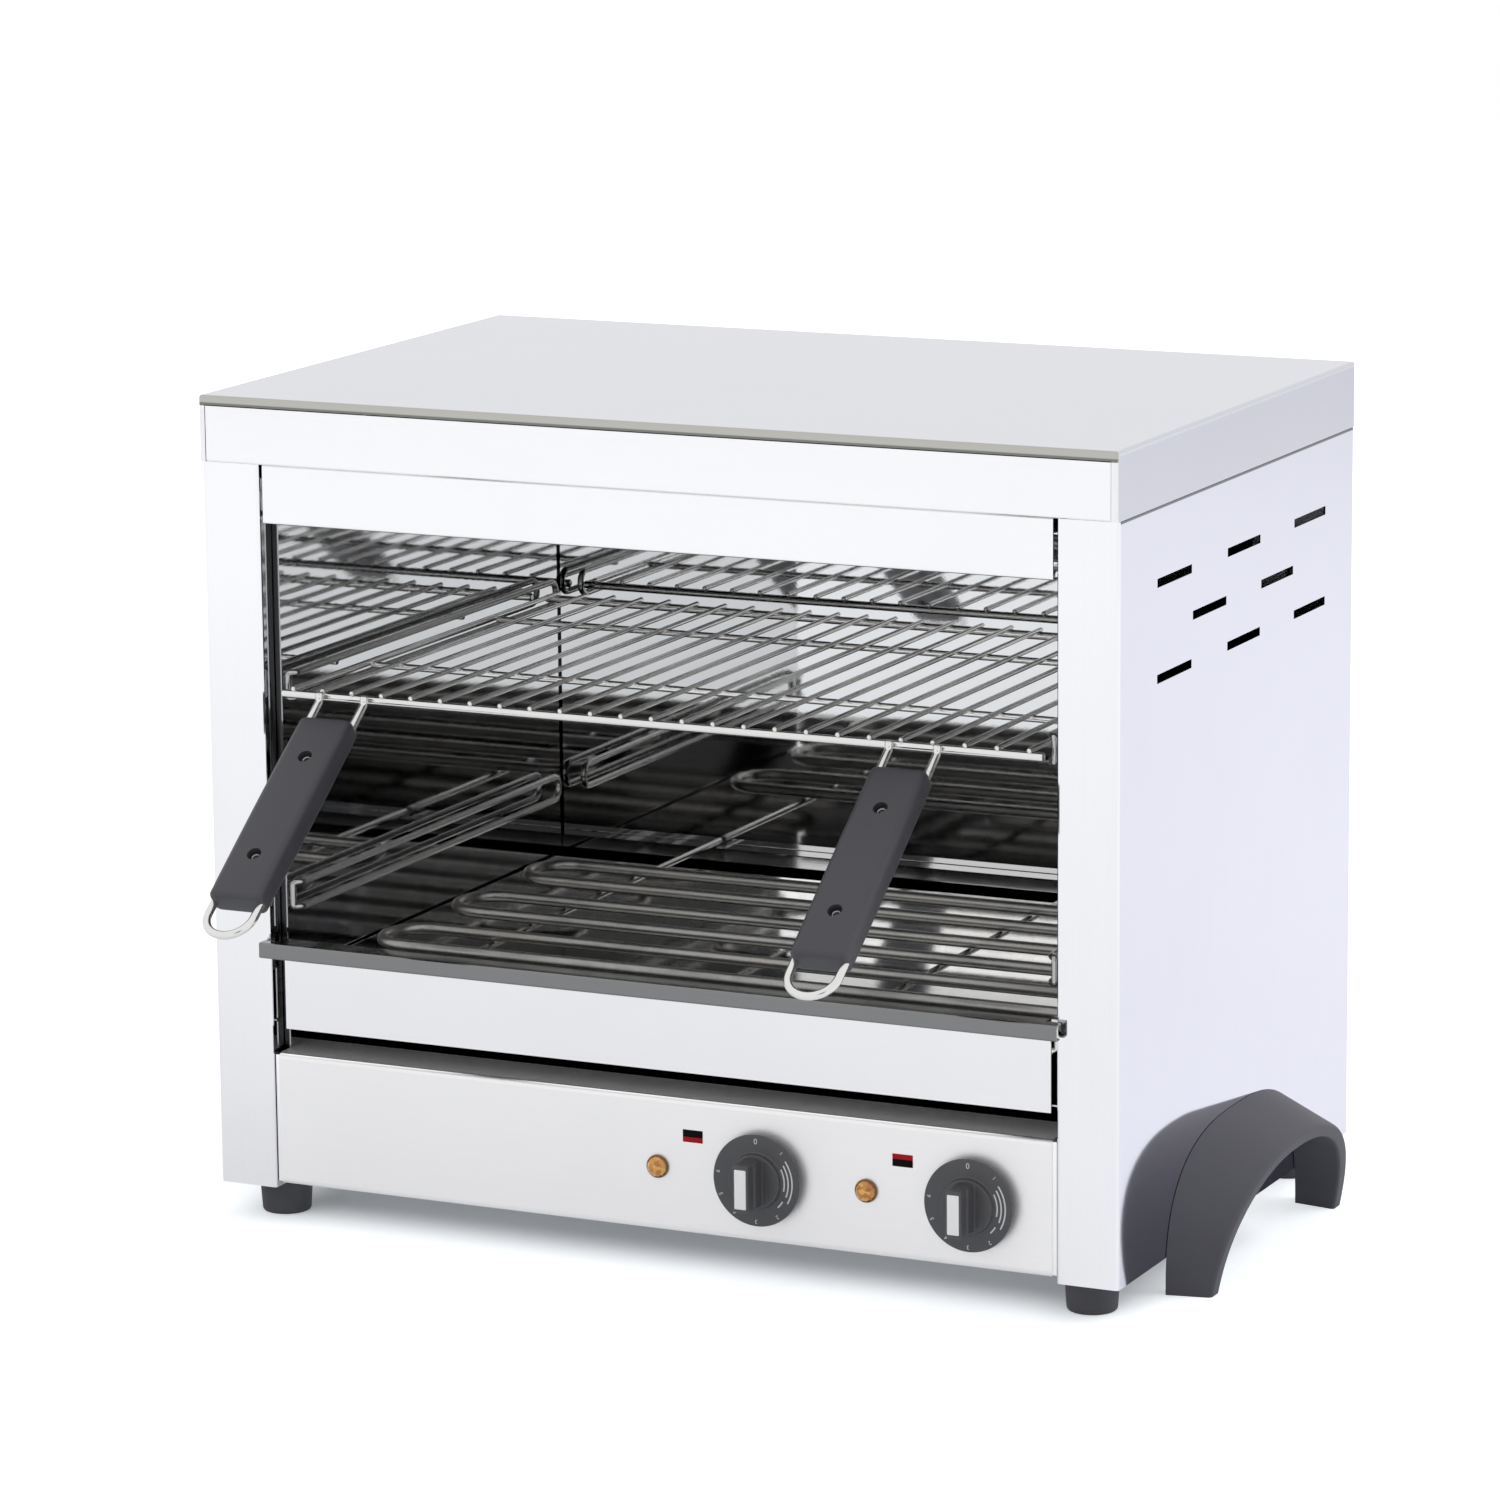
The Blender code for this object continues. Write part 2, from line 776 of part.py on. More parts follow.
def make_rods(level, ledge, flange):
    """One bank of three U-shaped heating rods with the rails and wires that carry them."""
    z = rod_height(ledge)
    wall = post_inner_x + outer_sheet
    for number, (near, far) in enumerate(rod_legs()):
        rod = wire("%s_rod_%d" % (level, number + 1), [hairpin(near, far, z, wall + rod_through)], rod_radius)
        beads = [(wall + fit_gap, y, z) for y in (near, far)]
        join(rod, bars("beads", beads, "X", ceramic_length, ceramic_radius, bead_sides))
        studs = [(wall + rod_through - stud_root, y, z) for y in (near, far)]
        join(rod, bars("studs", studs, "X", stud_root + stud_length, stud_radius, wire_sides))
        dress(rod, "rod", smooth=True)
    half = cavity_half - fit_gap
    for name, edge, way in ((level + "_front_rail", ledge_front_y, 1), (level + "_rear_rail", cavity_back_y, -1)):
        path = [(edge, ledge - flange), (edge, ledge), (edge + way * ledge_depth, ledge)]
        dress(sheet(name, path, -way * inner_sheet, tight_fold_radius, -half, half, "X"), "mirror")
    seat = ledge + fit_gap + support_radius
    start = ledge_front_y + tight_fold_radius * 2
    stop = cavity_back_y - tight_fold_radius * 2
    for word, side in (("left", -1), ("right", 1)):
        support = bars("%s_support_%s" % (level, word), [(side * support_x, start, seat)], "Y", stop - start,
                       support_radius, bar_sides)
        dress(support, "wire", smooth=True)


def make_guides():
    """Closed wire loops on the cavity walls: the rack's rails run between their two wires."""
    for side, word in ((-1, "left"), (1, "right")):
        for level, z in (("upper", guide_upper_z), ("lower", guide_lower_z)):
            x = side * guide_x
            wall = side * (cavity_half - fit_gap - guide_radius)
            top = z + guide_rise
            near = guide_front_y
            loop = [
                (x, near + guide_turn * 2, z), (x, near + guide_turn, z), (wall, near, z),
                (wall, near, top), (x, near + guide_turn, top), (x, near + guide_turn * 2, top)]
            path = [Vector(point) for point in loop]
            middle = (z + top) / 2
            radius = guide_rise / 2
            for step in range(7):
                turn = math.pi * step / 6
                path.append(Vector((x, guide_back_y + radius * math.sin(turn), middle + radius * math.cos(turn))))
            guide = wire("guide_%s_%s" % (word, level), [path], guide_radius, True)
            dress(guide, "wire")


def make_rack():
    """Welded grid: two end rails and two cross bars under a row of thin wires."""
    def across(name, y, radius, half, lift):
        return bars(name, [Vector((-half, y, rack_rail_z + lift)) - rack_place], "X", half * 2, radius, bar_sides)
    z = rack_rail_z + rack_rail_radius - rack_weld + rack_wire_radius
    start = rack_rail_y - rack_wire_overrun
    length = rack_back_y + rack_wire_overrun - start
    half = rack_wire_pitch * (rack_wire_count - 1) / 2
    places = []
    for index in range(rack_wire_count):
        places.append(Vector((rack_wire_pitch * index - half, start, z)) - rack_place)
    grid = across("rack_grid", rack_rail_y, rack_rail_radius, rail_half, 0)
    lift = rack_rail_radius - rack_bar_radius
    wires = bars("wires", places, "Y", length, rack_wire_radius, wire_sides)
    join(wires, across("bar_near", rack_bar_near_y, rack_bar_radius, half, lift))
    join(wires, across("bar_far", rack_bar_far_y, rack_bar_radius, half, lift))
    join(wires, across("rear", rack_back_y, rack_rail_radius, rail_half, 0))
    join(grid, wires)
    dress(grid, "wire", rack_frame, smooth=True)


def handle_point(along):
    """A point on the handle's slope, at a distance from where the wire bends down."""
    down = Vector((0, -math.cos(handle_angle), -math.sin(handle_angle)))
    return Vector((0, handle_y, handle_bend_z)) + down * along - rack_place


def make_handle(word, x):
    """Hairpin wire welded to the front rail, and a moulded grip over its two legs."""
    shift = Vector((x, 0, 0))
    half = handle_leg_pitch / 2
    bend = loop_tip - handle_wire_radius - half
    start = Vector((0, handle_y, handle_start_z)) - rack_place
    leg = rounded([start, handle_point(0), handle_point(bend)], handle_bend_radius, 4)
    down = (leg[-1] - leg[-2]).normalized()
    path = [point + shift - Vector((half, 0, 0)) for point in leg]
    for step in range(1, 8):
        turn = math.pi * step / 8
        reach = Vector((-half * math.cos(turn), 0, 0)) + down * (half * math.sin(turn))
        path.append(leg[-1] + shift + reach)
    path += [point + shift + Vector((half, 0, 0)) for point in leg[::-1]]
    dress(wire("handle_wire_" + word, [path], handle_wire_radius), "wire", rack_frame)
    low = Vector((-grip_width / 2, -grip_start - grip_length, -grip_thickness / 2))
    high = Vector((grip_width / 2, -grip_start, grip_thickness / 2))
    grip = block("handle_grip_" + word, low, high)
    soften(grip, grip_edge_radius, 3)
    bores = [(side * half, low.y - grip_edge_radius, 0) for side in (-1, 1)]
    cut(grip, bars("grip_bores", bores, "Y", grip_length + grip_edge_radius * 2,
                   handle_wire_radius + fit_gap, bar_sides, cutters))
    holes = [(0, y, low.z - fit_gap) for y in rivet_places()]
    cut(grip, bars("grip_holes", holes, "Z", grip_thickness + fit_gap * 2, rivet_hole_radius, bore_sides, cutters))
    grip.data.transform(slope_turn())
    dress(grip, "grip", rack_frame, handle_home(x), smooth=True)


def slope_turn():
    """Turns a piece built along -Y and Z into the handle's slope."""
    return Matrix.Rotation(handle_angle, 4, "X")


def handle_home(x):
    """Where a handle bends down, under the rack's frame."""
    return Vector((x, handle_y, handle_bend_z)) - rack_place


def rivet_places():
    middle = -grip_start - grip_length / 2
    return [middle - rivet_pitch / 2, middle + rivet_pitch / 2]


def make_tray():
    """Crumb tray: a shallow pan behind a front plate that carries a folded lip bar."""
    face = cavity_front_y - fit_gap - outer_sheet
    front = block("tray_front", Vector((-tray_front_half, face, tray_bottom_z)) - tray_place,
                  Vector((tray_front_half, face + outer_sheet, tray_top_z)) - tray_place)
    dress(front, "steel", tray_frame)
    bottom = runner_z + inner_sheet + fit_gap
    work = bmesh.new()
    low = Vector((-tray_pan_half, cavity_front_y + fit_gap, bottom)) - tray_place
    high = Vector((tray_pan_half, tray_pan_back_y, bottom + tray_pan_height)) - tray_place
    add_block(work, low, high)
    roof = [item for item in work.faces if item.normal.z > 0.5]
    bmesh.ops.delete(work, geom=roof, context="FACES_ONLY")
    pan = from_bmesh("tray_pan", work)
    shell = pan.modifiers.new("thickness", "SOLIDIFY")
    shell.thickness = inner_sheet
    shell.offset = -1
    shell.use_even_offset = True
    bake(pan)
    dress(pan, "galvanised", tray_frame)
    top = tray_top_z + fit_gap + outer_sheet
    nose = lid_overhang - lip_post_clearance
    path = [(face + outer_sheet, top), (-lip_reach, top), (-lip_reach, top - lip_drop),
            (-lip_reach + lip_hem, top - lip_drop)]
    lip = sheet("tray_lip", path, outer_sheet, tight_fold_radius, -lip_half, lip_half, "X")
    work = bmesh.new()
    for side in (-1, 1):
        ends = sorted((side * tray_front_half, side * (lip_half + lip_hem)))
        add_block(work, (ends[0], nose, top - lip_hem), (ends[1], nose + body_depth, top + lip_hem))
    cut(lip, from_bmesh("lip_cutter", work, cutters))
    lip.data.transform(Matrix.Translation(-tray_place))
    dress(lip, "mirror", tray_frame)


def make_dial(word, x):
    """Round skirt with a boss and a bar grip, a white insert and a steel shaft."""
    frame = empty("dial_axis_" + word, (x, control_face_y, dial_z), cabinet)
    rim = dial_radius
    back = -dial_stand
    face = back - dial_skirt
    profile = [(0, -back + dial_skirt), (rim - dial_edge, -back + dial_skirt),
               (rim, -back + dial_skirt - dial_edge), (rim, -back), (0, -back)]
    dial = lathe("dial_" + word, profile, "Y", dial_sides, True)
    boss = lathe("boss", [(0, -face + dial_boss_height), (dial_boss_radius - dial_edge, -face + dial_boss_height),
                          (dial_boss_radius, -face + dial_boss_height - dial_edge),
                          (dial_boss_radius, -face - dial_edge), (0, -face - dial_edge)], "Y", ring_sides, True)
    join(dial, boss)
    top = face - dial_boss_height
    bar = block("bar", (-dial_bar_width / 2, top - dial_bar_height, -dial_bar_length / 2),
                (dial_bar_width / 2, top + dial_edge, dial_bar_length / 2))
    soften(bar, dial_bar_edge, 2)
    join(dial, bar)
    crest = top - dial_bar_height
    pocket = block("pocket", (-insert_width / 2 - fit_gap, crest - insert_sink, -insert_length / 2 - fit_gap),
                   (insert_width / 2 + fit_gap, crest + insert_sink, insert_length / 2 + fit_gap), cutters)
    cut(dial, pocket)
    bore = bars("bore", [(0, back - shaft_into_dial, 0)], "Y", shaft_into_dial + dial_edge * 2,
                shaft_radius + fit_gap, hole_sides, cutters)
    cut(dial, bore)
    dress(dial, "dial", frame)
    smooth_round(dial)
    insert = block("dial_insert_" + word, (-insert_width / 2, crest - insert_stand, -insert_length / 2),
                   (insert_width / 2, crest + insert_sink - fit_gap, insert_length / 2))
    dress(insert, "white", frame)
    inner = outer_sheet + fit_gap + shaft_into_regulator
    start = back - shaft_into_dial + fit_gap
    shaft = bars("dial_shaft_" + word, [(0, start, 0)], "Y", inner - start, shaft_radius, hole_sides)
    dress(shaft, "zinc", frame, smooth=True)
    front = control_face_y + outer_sheet + fit_gap
    half = regulator_width / 2
    regulator = block("regulator_" + word, (x - half, front, dial_z - half),
                      (x + half, front + regulator_depth, dial_z + half))
    soften(regulator, regulator_edge, 1)
    well = bars("well", [(x, front - dial_edge, dial_z)], "Y", shaft_into_regulator + dial_edge + fit_gap,
                shaft_radius + shaft_clearance, hole_sides, cutters)
    cut(regulator, well)
    dress(regulator, "ceramic")


def make_lamp(word, x):
    """Pilot lamp: a domed lens in front of the panel on a body that passes through it."""
    profile = [(0, lamp_rim + lamp_dome)]
    for step in range(1, 6):
        turn = math.pi / 2 * step / 5
        profile.append((lamp_radius * math.sin(turn), lamp_rim + lamp_dome * math.cos(turn)))
    profile += [(lamp_radius, 0), (lamp_body_radius, 0), (lamp_body_radius, -lamp_body_length),
                (0, -lamp_body_length)]
    lamp = lathe("pilot_lamp_" + word, profile, "Y", hole_sides, True)
    dress(lamp, "amber", cabinet, (x, control_face_y - fit_gap, dial_z), smooth=True)


def make_feet():
    """Four slightly tapered rubber feet under the base pan."""
    profile = [(0, foot_height - fit_gap), (foot_top_radius, foot_height - fit_gap),
               (foot_bottom_radius, foot_round), (foot_bottom_radius - foot_round / 2, 0), (0, 0)]
    for word, x, y in (("front_left", -foot_x, foot_inset_y), ("front_right", foot_x, foot_inset_y),
                       ("rear_left", -foot_x, body_depth - foot_inset_y),
                       ("rear_right", foot_x, body_depth - foot_inset_y)):
        foot = lathe("foot_" + word, profile, "Z", foot_sides)
        dress(foot, "rubber", cabinet, (x, y, 0), smooth=True)


def arch_curve(half, height, steps=20):
    """Blunt arch from its front base over the crown to its rear base."""
    points = []
    power = 2 / arch_wall_power
    for step in range(steps + 1):
        turn = math.pi * step / steps
        along = -math.copysign(abs(math.cos(turn)) ** power, math.cos(turn))
        points.append((half * along, height * abs(math.sin(turn)) ** power))
    return points


def rim_share(along, up):
    """How far the rim's rounder curve pulls a point in, at shares of the arch's half-length and height."""
    wall = (abs(along) ** arch_wall_power + abs(up) ** arch_wall_power) ** (1 / arch_wall_power)
    rim = (abs(along) ** arch_rim_power + abs(up) ** arch_rim_power) ** (1 / arch_rim_power)
    return wall / rim


def make_arch(word, side):
    """Moulded carrying grip: an arch on the side panel that flares outward, lower at its rim."""
    outer = arch_curve(arch_half_length, arch_height)
    inner = arch_curve(arch_half_length - arch_leg, arch_height - arch_crown)
    outline = [(arch_centre_y + along, up) for along, up in outer + inner[::-1]]
    near = half_width + fit_gap
    far = near + arch_width_bottom
    arch = plate("side_grip_" + word, outline, near, far, "X")
    for vertex in arch.data.vertices:
        spot = vertex.co
        if spot.x > (near + far) / 2:
            length_share = (spot.y - arch_centre_y) / arch_half_length
            height_share = spot.z / arch_height
            pull = rim_share(length_share, height_share)
            spot.x = far + arch_lean * height_share
            spot.y = arch_centre_y + arch_rim_half_length * length_share * pull
            spot.z = arch_rim_height * height_share * pull
    soften(arch, arch_edge, 1, 60)
    if side < 0:
        arch.data.transform(Matrix.Diagonal((-1, 1, 1, 1)))
        arch.data.flip_normals()
    dress(arch, "grip", smooth=True)


def make_gland():
    """Cable inlet on the back panel: nut, dome and thread round an open bore."""
    base = fit_gap
    profile = [
        (gland_bore_radius, base + gland_nut_thickness + gland_dome_length),
        (gland_dome_radius - fold_radius, base + gland_nut_thickness + gland_dome_length),
        (gland_dome_radius, base + gland_nut_thickness + gland_dome_length - fold_radius),
        (gland_dome_radius, base + gland_nut_thickness), (gland_nut_radius, base + gland_nut_thickness),
        (gland_nut_radius, base), (gland_thread_radius, base),
        (gland_thread_radius, base - gland_thread_length), (gland_bore_radius, base - gland_thread_length),
        (gland_bore_radius, base + gland_nut_thickness + gland_dome_length)]
    gland = lathe("cable_gland", profile, "Y", hole_sides)
    dress(gland, "black", cabinet, (gland_x, body_depth, gland_z), smooth=True)


def make_terminal_block():
    """Ceramic block on the base pan where the supply meets the wiring."""
    floor = foot_height + outer_sheet + fit_gap
    low = (terminal_x - terminal_length / 2, terminal_y - terminal_width / 2, floor)
    high = (terminal_x + terminal_length / 2, terminal_y + terminal_width / 2, floor + terminal_height)
    terminal = block("terminal_block", low, high)
    soften(terminal, terminal_edge, 1)
    dress(terminal, "ceramic")


def build():
    make_lid()
    make_side("side_left", -1)
    make_side("side_right", 1)
    make_back()
    make_decks()
    make_front_panels()
    make_liners()
    make_rods("lower", lower_ledge_z, ledge_flange)
    make_rods("upper", upper_ledge_z, upper_ledge_flange)
    make_guides()
    make_rack()
    make_handle("left", handle_left_x)
    make_handle("right", handle_right_x)
    make_tray()
    make_dial("left", dial_first_x)
    make_dial("right", dial_second_x)
    make_lamp("left", lamp_first_x)
    make_lamp("right", lamp_second_x)
    make_feet()
    make_arch("left", -1)
    make_arch("right", 1)
    make_gland()
    make_terminal_block()


build()
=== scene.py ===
"""Looks for a countertop salamander grill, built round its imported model.

The sheet steel panels of the model stay and get their finish here. Rods, wires, grips,
dials, lamps, feet and fixings are made again with round sections and fine edges.
Lengths are in metres: X runs along the front, Y from front to back, Z up.
"""

import json
import math

import bmesh
import bpy
import numpy as np
from bpy.props import FloatProperty, FloatVectorProperty, IntProperty
from mathutils import Matrix, Vector

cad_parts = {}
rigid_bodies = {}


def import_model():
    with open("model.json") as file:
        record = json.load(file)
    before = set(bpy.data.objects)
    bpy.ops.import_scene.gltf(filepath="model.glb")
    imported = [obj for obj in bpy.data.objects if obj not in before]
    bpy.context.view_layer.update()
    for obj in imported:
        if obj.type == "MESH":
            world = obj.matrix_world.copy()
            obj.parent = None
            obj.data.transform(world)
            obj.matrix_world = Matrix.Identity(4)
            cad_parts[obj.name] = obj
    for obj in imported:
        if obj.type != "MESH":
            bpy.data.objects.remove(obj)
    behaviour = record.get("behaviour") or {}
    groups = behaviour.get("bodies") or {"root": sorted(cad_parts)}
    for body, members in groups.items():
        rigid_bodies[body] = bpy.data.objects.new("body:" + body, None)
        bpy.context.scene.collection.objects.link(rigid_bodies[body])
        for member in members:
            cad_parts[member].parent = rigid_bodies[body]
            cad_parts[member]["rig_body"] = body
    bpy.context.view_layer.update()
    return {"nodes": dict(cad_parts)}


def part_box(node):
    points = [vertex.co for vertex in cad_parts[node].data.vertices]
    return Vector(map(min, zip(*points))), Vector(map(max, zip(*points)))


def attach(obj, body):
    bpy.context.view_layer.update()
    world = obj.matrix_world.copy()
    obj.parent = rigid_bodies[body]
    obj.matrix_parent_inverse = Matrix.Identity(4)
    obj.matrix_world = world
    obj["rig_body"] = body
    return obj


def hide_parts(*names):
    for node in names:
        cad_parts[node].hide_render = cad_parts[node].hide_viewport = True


bl_info = {
    "name": "Salamander grill",
    "version": (1, 0, 0),
    "blender": (4, 5, 0),
    "location": "View3D > Sidebar > Grill",
    "description": "Dresses the packed model of a countertop salamander grill",
    "category": "Object",
}

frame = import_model()
nodes = frame["nodes"]
mm = 0.001
axis_x, axis_y, axis_z = np.eye(3)
front_ways = (axis_x, axis_z, -axis_y)


def length(name, text, value):
    return FloatProperty(name=name, description=text, default=value, unit="LENGTH")


def tint(name, text, *value):
    return FloatVectorProperty(name=name, description=text, default=value, subtype="COLOR")


class GrillSizes(bpy.types.PropertyGroup):
    """Sizes of the round and moulded pieces."""
    rod_radius: length("Rod radius", "Radius of a heating rod", 3.5 * mm)
    bead_radius: length("Bead radius", "Radius of a rod's ceramic bead", 6.2 * mm)
    support_radius: length("Support radius", "Radius of the wires under the rods and of the guides", 2.0 * mm)
    rail_radius: length("Rack rail radius", "Radius of the rack's end rails", 2.5 * mm)
    bar_radius: length("Rack bar radius", "Radius of the rack's cross bars", 2.0 * mm)
    wire_radius: length("Rack wire radius", "Radius of the rack's thin wires", 1.5 * mm)
    wire_count: IntProperty(name="Rack wires", description="Number of its thin wires", default=25, min=2)
    wire_pitch: length("Rack wire pitch", "Distance between two thin wires", 19 * mm)
    handle_wire_radius: length("Handle wire radius", "Radius of a handle's wire", 2.4 * mm)
    grip_edge: length("Grip edge", "Rounding along a handle grip's long edges", 4.5 * mm)
    numeral_height: length("Numeral height", "Height of the numerals on a dial", 3.4 * mm)
    side_grip_edge: length("Side grip edge", "Rounding of a side grip's rim", 2.2 * mm)


class GrillColours(bpy.types.PropertyGroup):
    """Colours of the finishes."""
    front_steel: tint("Front steel", "Steel of the front panels", 0.955, 0.94, 0.945)
    # The side and lid steels are the front steel made darker, and the side's bluer too: painted shade and
    # painted reflection of the studio on those faces.
    shaded_side_steel: tint("Side steel", "Steel of the side panels", 0.845, 0.83, 0.92)
    shaded_lid_steel: tint("Lid steel", "Steel of the lid", 0.64, 0.648, 0.70)
    liner_steel: tint("Cavity steel", "Polished steel of the cavity", 0.77, 0.77, 0.77)
    tray_steel: tint("Pan steel", "Plated steel of the pan and decks", 0.97, 0.97, 0.97)
    wire_steel: tint("Wire", "Chromed wire of the rack", 0.80, 0.80, 0.80)
    rod_oxide: tint("Rod", "Heating rods' oxidised steel", 0.355, 0.352, 0.344)
    plastic: tint("Grip plastic", "Moulded plastic of grips and handles", 0.053, 0.053, 0.062)
    dial: tint("Dial plastic", "Moulded plastic of the dials", 0.074, 0.074, 0.081)
    print_white: tint("Print", "Numerals and dial inserts", 0.98, 0.98, 0.98)
    amber: tint("Lamp amber", "Lenses of the pilot lamps", 0.90, 0.33, 0.045)
    red: tint("Symbol red", "Red strip of the zone symbols", 0.42, 0.01, 0.02)


# shapes: a closed shell is a pair of its points and its faces

def shell(grid, closed_u=False):
    """Skin over a grid of rings: u counts the rings and v goes round each. The first and last ring are
    closed by a fan to the ring's middle, or joined to each other."""
    rings, sides = grid.shape[:2]
    index = np.arange(rings * sides).reshape(rings, sides)
    index = np.hstack([index, index[:, :1]])
    if closed_u:
        index = np.vstack([index, index[:1]])
    quads = np.stack([index[:-1, :-1], index[:-1, 1:], index[1:, 1:], index[1:, :-1]], axis=-1)
    points = grid.reshape(-1, 3)
    faces = quads.reshape(-1, 4).tolist()
    if not closed_u:
        count = len(points)
        points = np.vstack([points, grid[0].mean(axis=0), grid[-1].mean(axis=0)])
        for ring, pole in ((index[0], count), (index[-1], count + 1)):
            faces += np.stack([ring[:-1], ring[1:], np.full(sides, pole)], axis=-1).tolist()
    return points, faces


def unit(vectors):
    return vectors / np.linalg.norm(vectors, axis=-1, keepdims=True)


def bend(points, reach, steps=8):
    """Path with each corner P replaced by the curve (1-t)^2 A + 2t(1-t) P + t^2 B, where A and B lie at
    the reach from P on the two legs."""
    points = np.asarray(points, float)
    before, corner, after = points[:-2], points[1:-1], points[2:]
    room = np.minimum(np.linalg.norm(before - corner, axis=1), np.linalg.norm(after - corner, axis=1)) * 0.499
    arm = np.minimum(np.broadcast_to(reach, room.shape), room)[:, None]
    start = (corner + unit(before - corner) * arm)[:, None]
    stop = (corner + unit(after - corner) * arm)[:, None]
    t = np.linspace(0, 1, steps)[None, :, None]
    curve = (1 - t) ** 2 * start + 2 * t * (1 - t) * corner[:, None] + t ** 2 * stop
    return np.vstack([points[:1], curve.reshape(-1, points.shape[1]), points[-1:]])


def half_ring(centre, ahead, across, radius, steps=25):
    """Half circle C - r cos a S + r sin a D, from one side round the front to the other."""
    turn = np.linspace(0, np.pi, steps)[:, None]
    return centre - np.cos(turn) * across * radius + np.sin(turn) * ahead * radius


def ends(radius, edge, steps=5):
    """Setback and radius of the rings that round a bar's end: e(1 - cos a) and r - e + e sin a."""
    turn = np.linspace(0, np.pi / 2, steps)
    return edge * (1 - np.cos(turn)), radius - edge + edge * np.sin(turn)


def tube(path, radius, square, sides=16, closed=False, edge_share=0.35):
    """Round bar along a path: path(u) + r(u) (cos v A + sin v B), with A and B square to the path.
    The square vector is one that the path never runs along. Both ends are slightly rounded."""
    path = np.asarray(path, float)
    if closed:
        ahead = unit(np.roll(path, -1, axis=0) - np.roll(path, 1, axis=0))
        reach = np.full(len(path), radius)
    else:
        back, small = ends(radius, radius * edge_share)
        first, last = unit(path[1] - path[0]), unit(path[-1] - path[-2])
        head = path[0] + back[:, None] * first
        tail = path[-1] - back[::-1, None] * last
        path = np.vstack([head, path[1:-1], tail])
        reach = np.concatenate([small, np.full(len(path) - 2 * len(small), radius), small[::-1]])
        ahead = unit(np.gradient(path, axis=0))
    over = unit(np.cross(ahead, square))
    across = np.cross(over, ahead)
    turn = np.linspace(0, 2 * np.pi, sides, endpoint=False)
    ring = np.cos(turn)[None, :, None] * across[:, None] + np.sin(turn)[None, :, None] * over[:, None]
    return shell(path[:, None] + reach[:, None, None] * ring, closed_u=closed)


def lathe(profile, centre, axis, sides=48, start=0.0, across=None, closed=False):
    """Turned piece: centre + h(u) axis + r(u) (cos v A + sin v B) for a profile of radius r and height h.
    A closed profile makes a ring."""
    profile = np.asarray(profile, float)
    across = np.roll(axis, 1) if across is None else across
    over = np.cross(axis, across)
    turn = np.linspace(0, 2 * np.pi, sides, endpoint=False) + start
    ring = np.cos(turn)[:, None] * across + np.sin(turn)[:, None] * over
    grid = np.asarray(centre) + profile[:, 1, None, None] * axis + profile[:, 0, None, None] * ring
    return shell(grid, closed_u=closed)


def rounded_loops(half_wide, half_tall, corner, steps=6):
    """Rounded rectangles, one for each entry: corner centres at half size less the corner's radius, and a
    quarter circle of that radius round each."""
    half_wide, half_tall, corner = np.broadcast_arrays(
        np.atleast_1d(half_wide), np.atleast_1d(half_tall), np.atleast_1d(corner))
    turn = np.arange(4)[:, None] * np.pi / 2 + np.linspace(0, np.pi / 2, steps)
    side = np.sign(np.cos(turn.mean(axis=1)))[None, :, None]
    top = np.sign(np.sin(turn.mean(axis=1)))[None, :, None]
    corner = corner[:, None, None]
    wide = side * (half_wide[:, None, None] - corner) + corner * np.cos(turn)
    tall = top * (half_tall[:, None, None] - corner) + corner * np.sin(turn)
    return np.stack([wide, tall], axis=-1).reshape(len(half_wide), -1, 2)


def stack(loops, levels, centre, wide_way, tall_way, level_way):
    """Skin over flat loops laid at rising levels: centre + a W + b T + level L."""
    grid = (np.asarray(centre) + loops[..., :1] * wide_way + loops[..., 1:] * tall_way
            + np.asarray(levels)[:, None, None] * level_way)
    return shell(grid)


def cushion(half_wide, half_tall, low, high, corner, edge, centre, ways, steps=5):
    """Block with rounded corners and rounded rims: a stack of rounded rectangles that draw in by
    e(1 - sin a) at a height of e(1 - cos a) from each face."""
    back, small = ends(edge, edge, steps)
    inset = np.concatenate([edge - small, (edge - small)[::-1]])
    levels = np.concatenate([low + back, high - back[::-1]])
    loops = rounded_loops(half_wide - inset, half_tall - inset, np.maximum(corner - inset, corner * 0.1))
    return stack(loops, levels, centre, *ways)


# pieces

def corners(node):
    """Lowest and highest corner of a node of the model."""
    low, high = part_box(node)
    return np.array(low), np.array(high)


def round_box(node):
    """Lowest and highest corner, middle and radius of a round node."""
    low, high = corners(node)
    return low, high, (low + high) / 2, (high[0] - low[0]) / 2


def add_object(name, data):
    item = bpy.data.objects.new(name, data)
    bpy.context.scene.collection.objects.link(item)
    return item


def turn_outwards(mesh, merge=0.0):
    """Turn every face outwards, once points closer than the merge distance are one."""
    work = bmesh.new()
    work.from_mesh(mesh)
    if merge:
        bmesh.ops.remove_doubles(work, verts=work.verts, dist=merge)
    bmesh.ops.recalc_face_normals(work, faces=work.faces)
    work.to_mesh(mesh)
    work.free()


def smooth(mesh, crease):
    """Shade smooth up to the crease angle in degrees."""
    mesh.shade_smooth()
    mesh.set_sharp_from_angle(angle=math.radians(crease))


def mesh_of(name, shells, crease):
    """One mesh from several closed shells."""
    points, faces, count = [], [], 0
    for some_points, some_faces in shells:
        points.append(some_points)
        faces += [[corner + count for corner in face] for face in some_faces]
        count += len(some_points)
    mesh = bpy.data.meshes.new(name)
    mesh.from_pydata(np.vstack(points).tolist(), [], faces)
    turn_outwards(mesh)
    smooth(mesh, crease)
    return mesh


def settle(item, node, look, stands_for=()):
    """Give a finished piece its finish, body and slot, and hide the nodes that it stands for."""
    item.data.materials.clear()
    item.data.materials.append(look)
    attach(item, nodes[node]["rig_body"])
    if stands_for:
        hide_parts(*stands_for)
    return item


